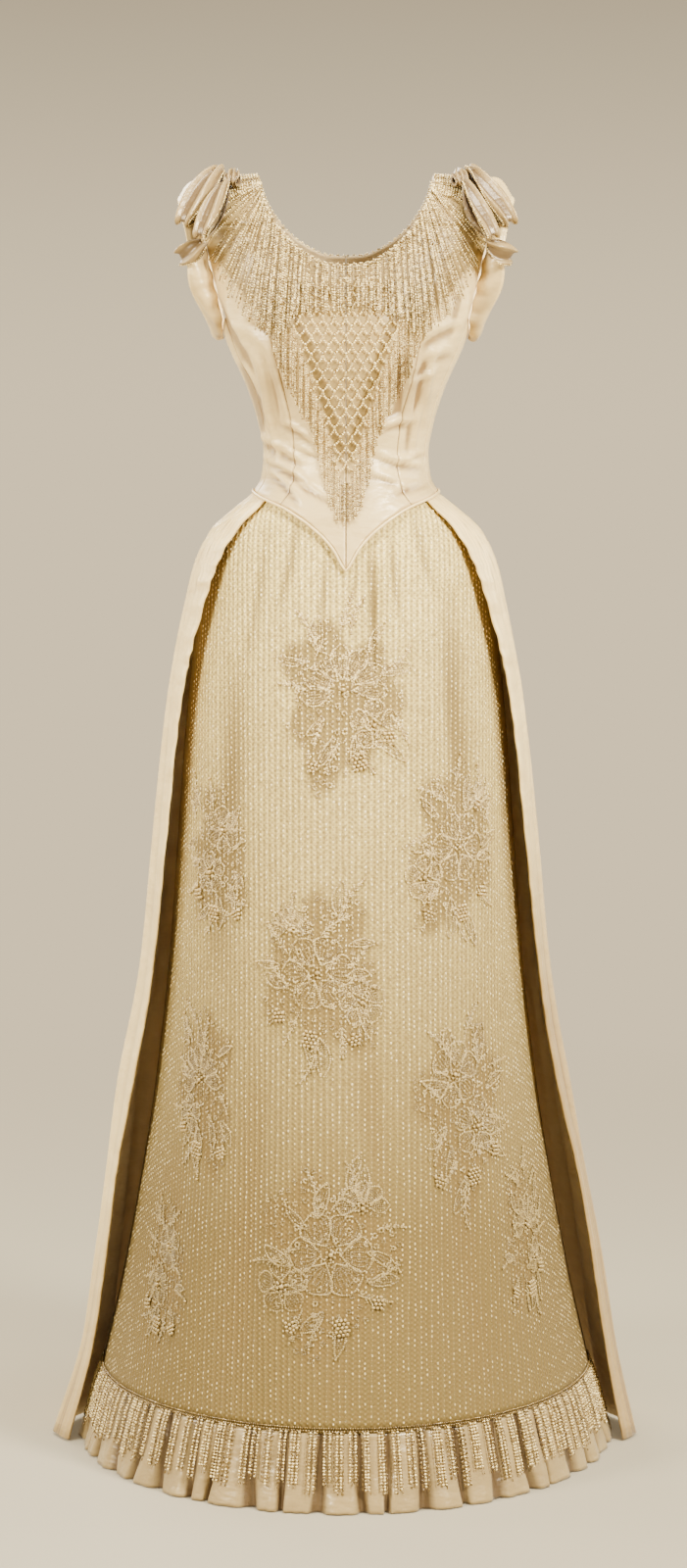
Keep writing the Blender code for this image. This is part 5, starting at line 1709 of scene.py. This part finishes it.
def frond(drawing, base, angle, length, bend, pairs):
    """A curved spine with short barbs on both sides."""
    t = np.linspace(0.0, 1.0, 26)
    way = angle + bend * t
    step = length / 25.0
    a = base[0] + np.concatenate([[0.0], np.cumsum(np.cos(way[:-1]) * step)])
    b = base[1] + np.concatenate([[0.0], np.cumsum(np.sin(way[:-1]) * step)])
    drawing.line(np.stack([a, b], 1), SMALL)
    for k in range(pairs):
        at = 5 + int(20 * k / pairs)
        reach = length * 0.20 * (1.0 - 0.5 * k / pairs)
        for side in (-1, 1):
            turn = way[at] + side * 0.75
            tip = away_from((a[at], b[at]), turn, reach)
            drawing.line(np.linspace((a[at], b[at]), tip, 6), SMALL)
    drawing.pearl(a[-1], b[-1], PEARL_SMALL)


def florets(drawing, tall, wide, seed, chance):
    """Small rounds of beads that fill the spray between its leaves."""
    made = []
    for _ in range(900):
        a, b = chance.uniform(-0.5, 0.5), chance.uniform(-0.5, 0.5)
        if math.hypot(a, b) > spray_rim(math.atan2(b, a), seed):
            continue
        a, b = a * wide, b * tall
        if all(math.hypot(a - c, b - d) > 0.0076 for c, d in made):
            made.append((a, b))
    for a, b in made:
        angle = chance.uniform(0.0, 1.2) + 2.0 * math.pi * np.arange(7) / 6
        reach = chance.uniform(0.0021, 0.0027)
        ring = np.stack([a + reach * np.cos(angle), b + reach * np.sin(angle)], 1)
        drawing.line(ring, SMALL, int(chance.random() < BRIGHT_SHARE))


def spray(kind, x, z, tall, wide, lean, flip, seed):
    """One bouquet: flowers over leaves and fronds, with bunches of pearls below."""
    chance = random.Random(seed)
    drawing = Drawing(panel_run(x, z), z, lean)
    up = math.pi / 2.0
    heart = (0.006 * flip, 0.02 * tall)
    ring = {"rosette": 15, "fan": 13, "branch": 14}[kind]
    for k in range(ring):
        angle = up + flip * (2.0 * math.pi * (k + 0.3) / ring) + chance.uniform(-0.16, 0.16)
        stretch = math.hypot(wide * math.cos(angle), tall * math.sin(angle))
        root = chance.uniform(0.16, 0.31)
        start = away_from(heart, angle, root * wide, root * tall)
        reach = stretch * chance.uniform(0.15, 0.22)
        angle += chance.uniform(-0.8, 0.8)
        if k % 3 == 0:
            frond(drawing, start, angle, reach, chance.uniform(-0.7, 0.7), 6)
        elif k % 3 == 1:
            leaf(drawing, start, angle, reach * 0.90, reach * 0.34, 5)
            frond(drawing, start, angle + 0.25 * flip, reach * 1.12, 0.5 * flip, 5)
        else:
            leaf(drawing, start, angle, reach, reach * 0.26, 4)
            drawing.pearl(*away_from(start, angle, reach * 1.02), PEARL_SMALL)
    if kind == "rosette":
        bloom(drawing, heart, wide * 0.24, 6, up, 2.0 * math.pi)
        bloom(drawing, (-0.24 * wide * flip, -0.13 * tall), wide * 0.15, 5, 0.4, 2.0 * math.pi)
        bloom(drawing, (0.20 * wide * flip, 0.22 * tall), wide * 0.15, 5, up, 3.6)
    elif kind == "fan":
        bloom(drawing, (heart[0], heart[1] + 0.03 * tall), wide * 0.28, 7, up, 3.9)
        bloom(drawing, (0.22 * wide * flip, -0.12 * tall), wide * 0.16, 5, 0.2, 2.0 * math.pi)
    else:
        bloom(drawing, (-0.10 * wide * flip, 0.15 * tall), wide * 0.21, 6, 0.9, 2.0 * math.pi)
        bloom(drawing, (0.12 * wide * flip, -0.07 * tall), wide * 0.19, 5, 0.2, 2.0 * math.pi)
    cluster(drawing, (0.10 * wide * flip, -0.24 * tall), -up + 0.2 * flip, 5, PEARL_LARGE * 0.80)
    cluster(drawing, (-0.17 * wide * flip, -0.27 * tall), -up - 0.3 * flip, 4, PEARL_LARGE * 0.76)
    way = -0.6 if flip > 0 else math.pi + 0.6
    cluster(drawing, (0.28 * wide * flip, -0.16 * tall), way, 4, PEARL_LARGE * 0.80)
    florets(drawing, tall, wide, seed, chance)
    return drawing


def sprays():
    small = Beads()
    pearls = Beads()
    chance = np.random.default_rng(12)
    for row in SPRAYS:
        spray(*row).lay(small, pearls, chance)
    return [
        belongs(small.domes("net_sprays", [SPRAY, SPRAY_LIGHT]), "skirt_front"),
        belongs(pearls.piece("net_spray_pearls", [BERRY]), "skirt_front"),
    ]


on_panel = [net_rows(1, "l"), net_rows(-1, "r"), *sprays(), hem_strands]
declare(panel_grid)

# Floor, light and camera

BACKDROP = (1.09, 0.887, 0.569)
FLOOR_TONE = (0.34, 0.294, 0.195)
FLOOR_DROP = 0.0006
FLOOR_CORNERS = [(-14.0, -9.0), (14.0, -9.0), (14.0, 22.0), (-14.0, 22.0)]
GLOW_START = 1.15
GLOW_FULL = 3.4
SKY = [(0.49, 1.0), (0.56, 0.42), (0.70, 0.25)]
LENS = 107.1
SENSOR = 36.0
CAMERA_PLACE = (-0.0026, -5.0, -0.18)
CAMERA_DOWN = 5.317


def floor():
    """A plane that turns into the backdrop's own light away from the dress."""
    look = Look("studio_floor", 0.8, 0.2)
    where = look.place()
    grain = look.noise(where, 60.0, 3.0)
    look.finish(look.mixed(grain, FLOOR_TONE, [c * 0.98 for c in FLOOR_TONE]))
    far = look.node("VectorMath", where, operation="LENGTH").outputs["Value"]
    share = look.ranged(far, GLOW_START, GLOW_FULL)
    glow = look.node("Emission", Strength=1.0, Color=(*BACKDROP, 1.0))
    blend = look.node("MixShader", share, look.shader.outputs[0], glow.outputs[0])
    output = [n for n in look.nodes if n.type == "OUTPUT_MATERIAL"][0]
    look.link(blend.outputs[0], output.inputs["Surface"])
    corners = [(x, y, FLOOR - FLOOR_DROP) for x, y in FLOOR_CORNERS]
    return finish_piece("floor", corners, [(0, 1, 2, 3)], [look.material])


def area_light(name, place, target, size, power, colour):
    light = bpy.data.lights.new(name, "AREA")
    light.shape = "DISK"
    light.size = size
    light.energy = power
    light.color = colour
    obj = bpy.data.objects.new(name, light)
    obj.location = place
    away = np.array(place) - np.array(target)
    tilt = math.atan2(math.hypot(away[0], away[1]), away[2])
    obj.rotation_euler = (tilt, 0.0, math.atan2(away[0], -away[1]))
    bpy.context.scene.collection.objects.link(obj)
    return obj


# Name, place, target, size, power and colour
LIGHTS = [
    ("key", (2.5, -3.0, 1.5), (0.0, 0.0, -0.40), 1.0, 590.0, (1.0, 0.98, 0.94)),
    ("fill", (-3.1, -2.5, 0.9), (0.0, 0.0, -0.45), 1.4, 330.0, (1.0, 0.97, 0.92)),
    ("top", (0.1, -0.9, 2.7), (0.0, 0.0, -0.3), 1.6, 260.0, (1.0, 0.98, 0.94)),
    ("side_l", (3.4, 0.8, 0.5), (0.0, 0.0, -0.5), 1.8, 75.0, (1.0, 0.98, 0.94)),
    ("side_r", (-3.4, 0.8, 0.5), (0.0, 0.0, -0.5), 1.8, 90.0, (1.0, 0.98, 0.94)),
    ("behind", (-1.6, 3.4, 1.6), (0.0, 0.0, -0.6), 2.4, 200.0, (1.0, 0.97, 0.93)),
]


def studio_world():
    """A pale studio: bright round the horizon, darker overhead."""
    world = bpy.data.worlds.new("studio")
    world.use_nodes = True
    nodes = world.node_tree.nodes
    link = world.node_tree.links.new
    where = nodes.new("ShaderNodeTexCoord")
    parts = nodes.new("ShaderNodeSeparateXYZ")
    link(where.outputs["Generated"], parts.inputs["Vector"])
    high = nodes.new("ShaderNodeValToRGB")
    high.color_ramp.interpolation = "EASE"
    stops = high.color_ramp.elements
    for k, (height, level) in enumerate(SKY):
        stop = stops[k] if k < len(stops) else stops.new(height)
        stop.position = height
        stop.color = (level, level, level, 1.0)
    half = nodes.new("ShaderNodeMath")
    half.operation = "MULTIPLY_ADD"
    half.inputs[1].default_value = 0.5
    half.inputs[2].default_value = 0.5
    link(parts.outputs["Z"], half.inputs[0])
    link(half.outputs[0], high.inputs["Fac"])
    link(high.outputs["Color"], nodes["Background"].inputs["Strength"])
    nodes["Background"].inputs["Color"].default_value = (*BACKDROP, 1.0)
    bpy.context.scene.world = world


studio_world()
floor()
[area_light(*row) for row in LIGHTS]

camera = bpy.data.objects.new("camera", bpy.data.cameras.new("camera"))
camera.data.lens = LENS
camera.data.sensor_width = SENSOR
camera.location = CAMERA_PLACE
camera.rotation_euler = (math.radians(90.0 - CAMERA_DOWN), 0.0, 0.0)
bpy.context.scene.collection.objects.link(camera)
bpy.context.scene.camera = camera
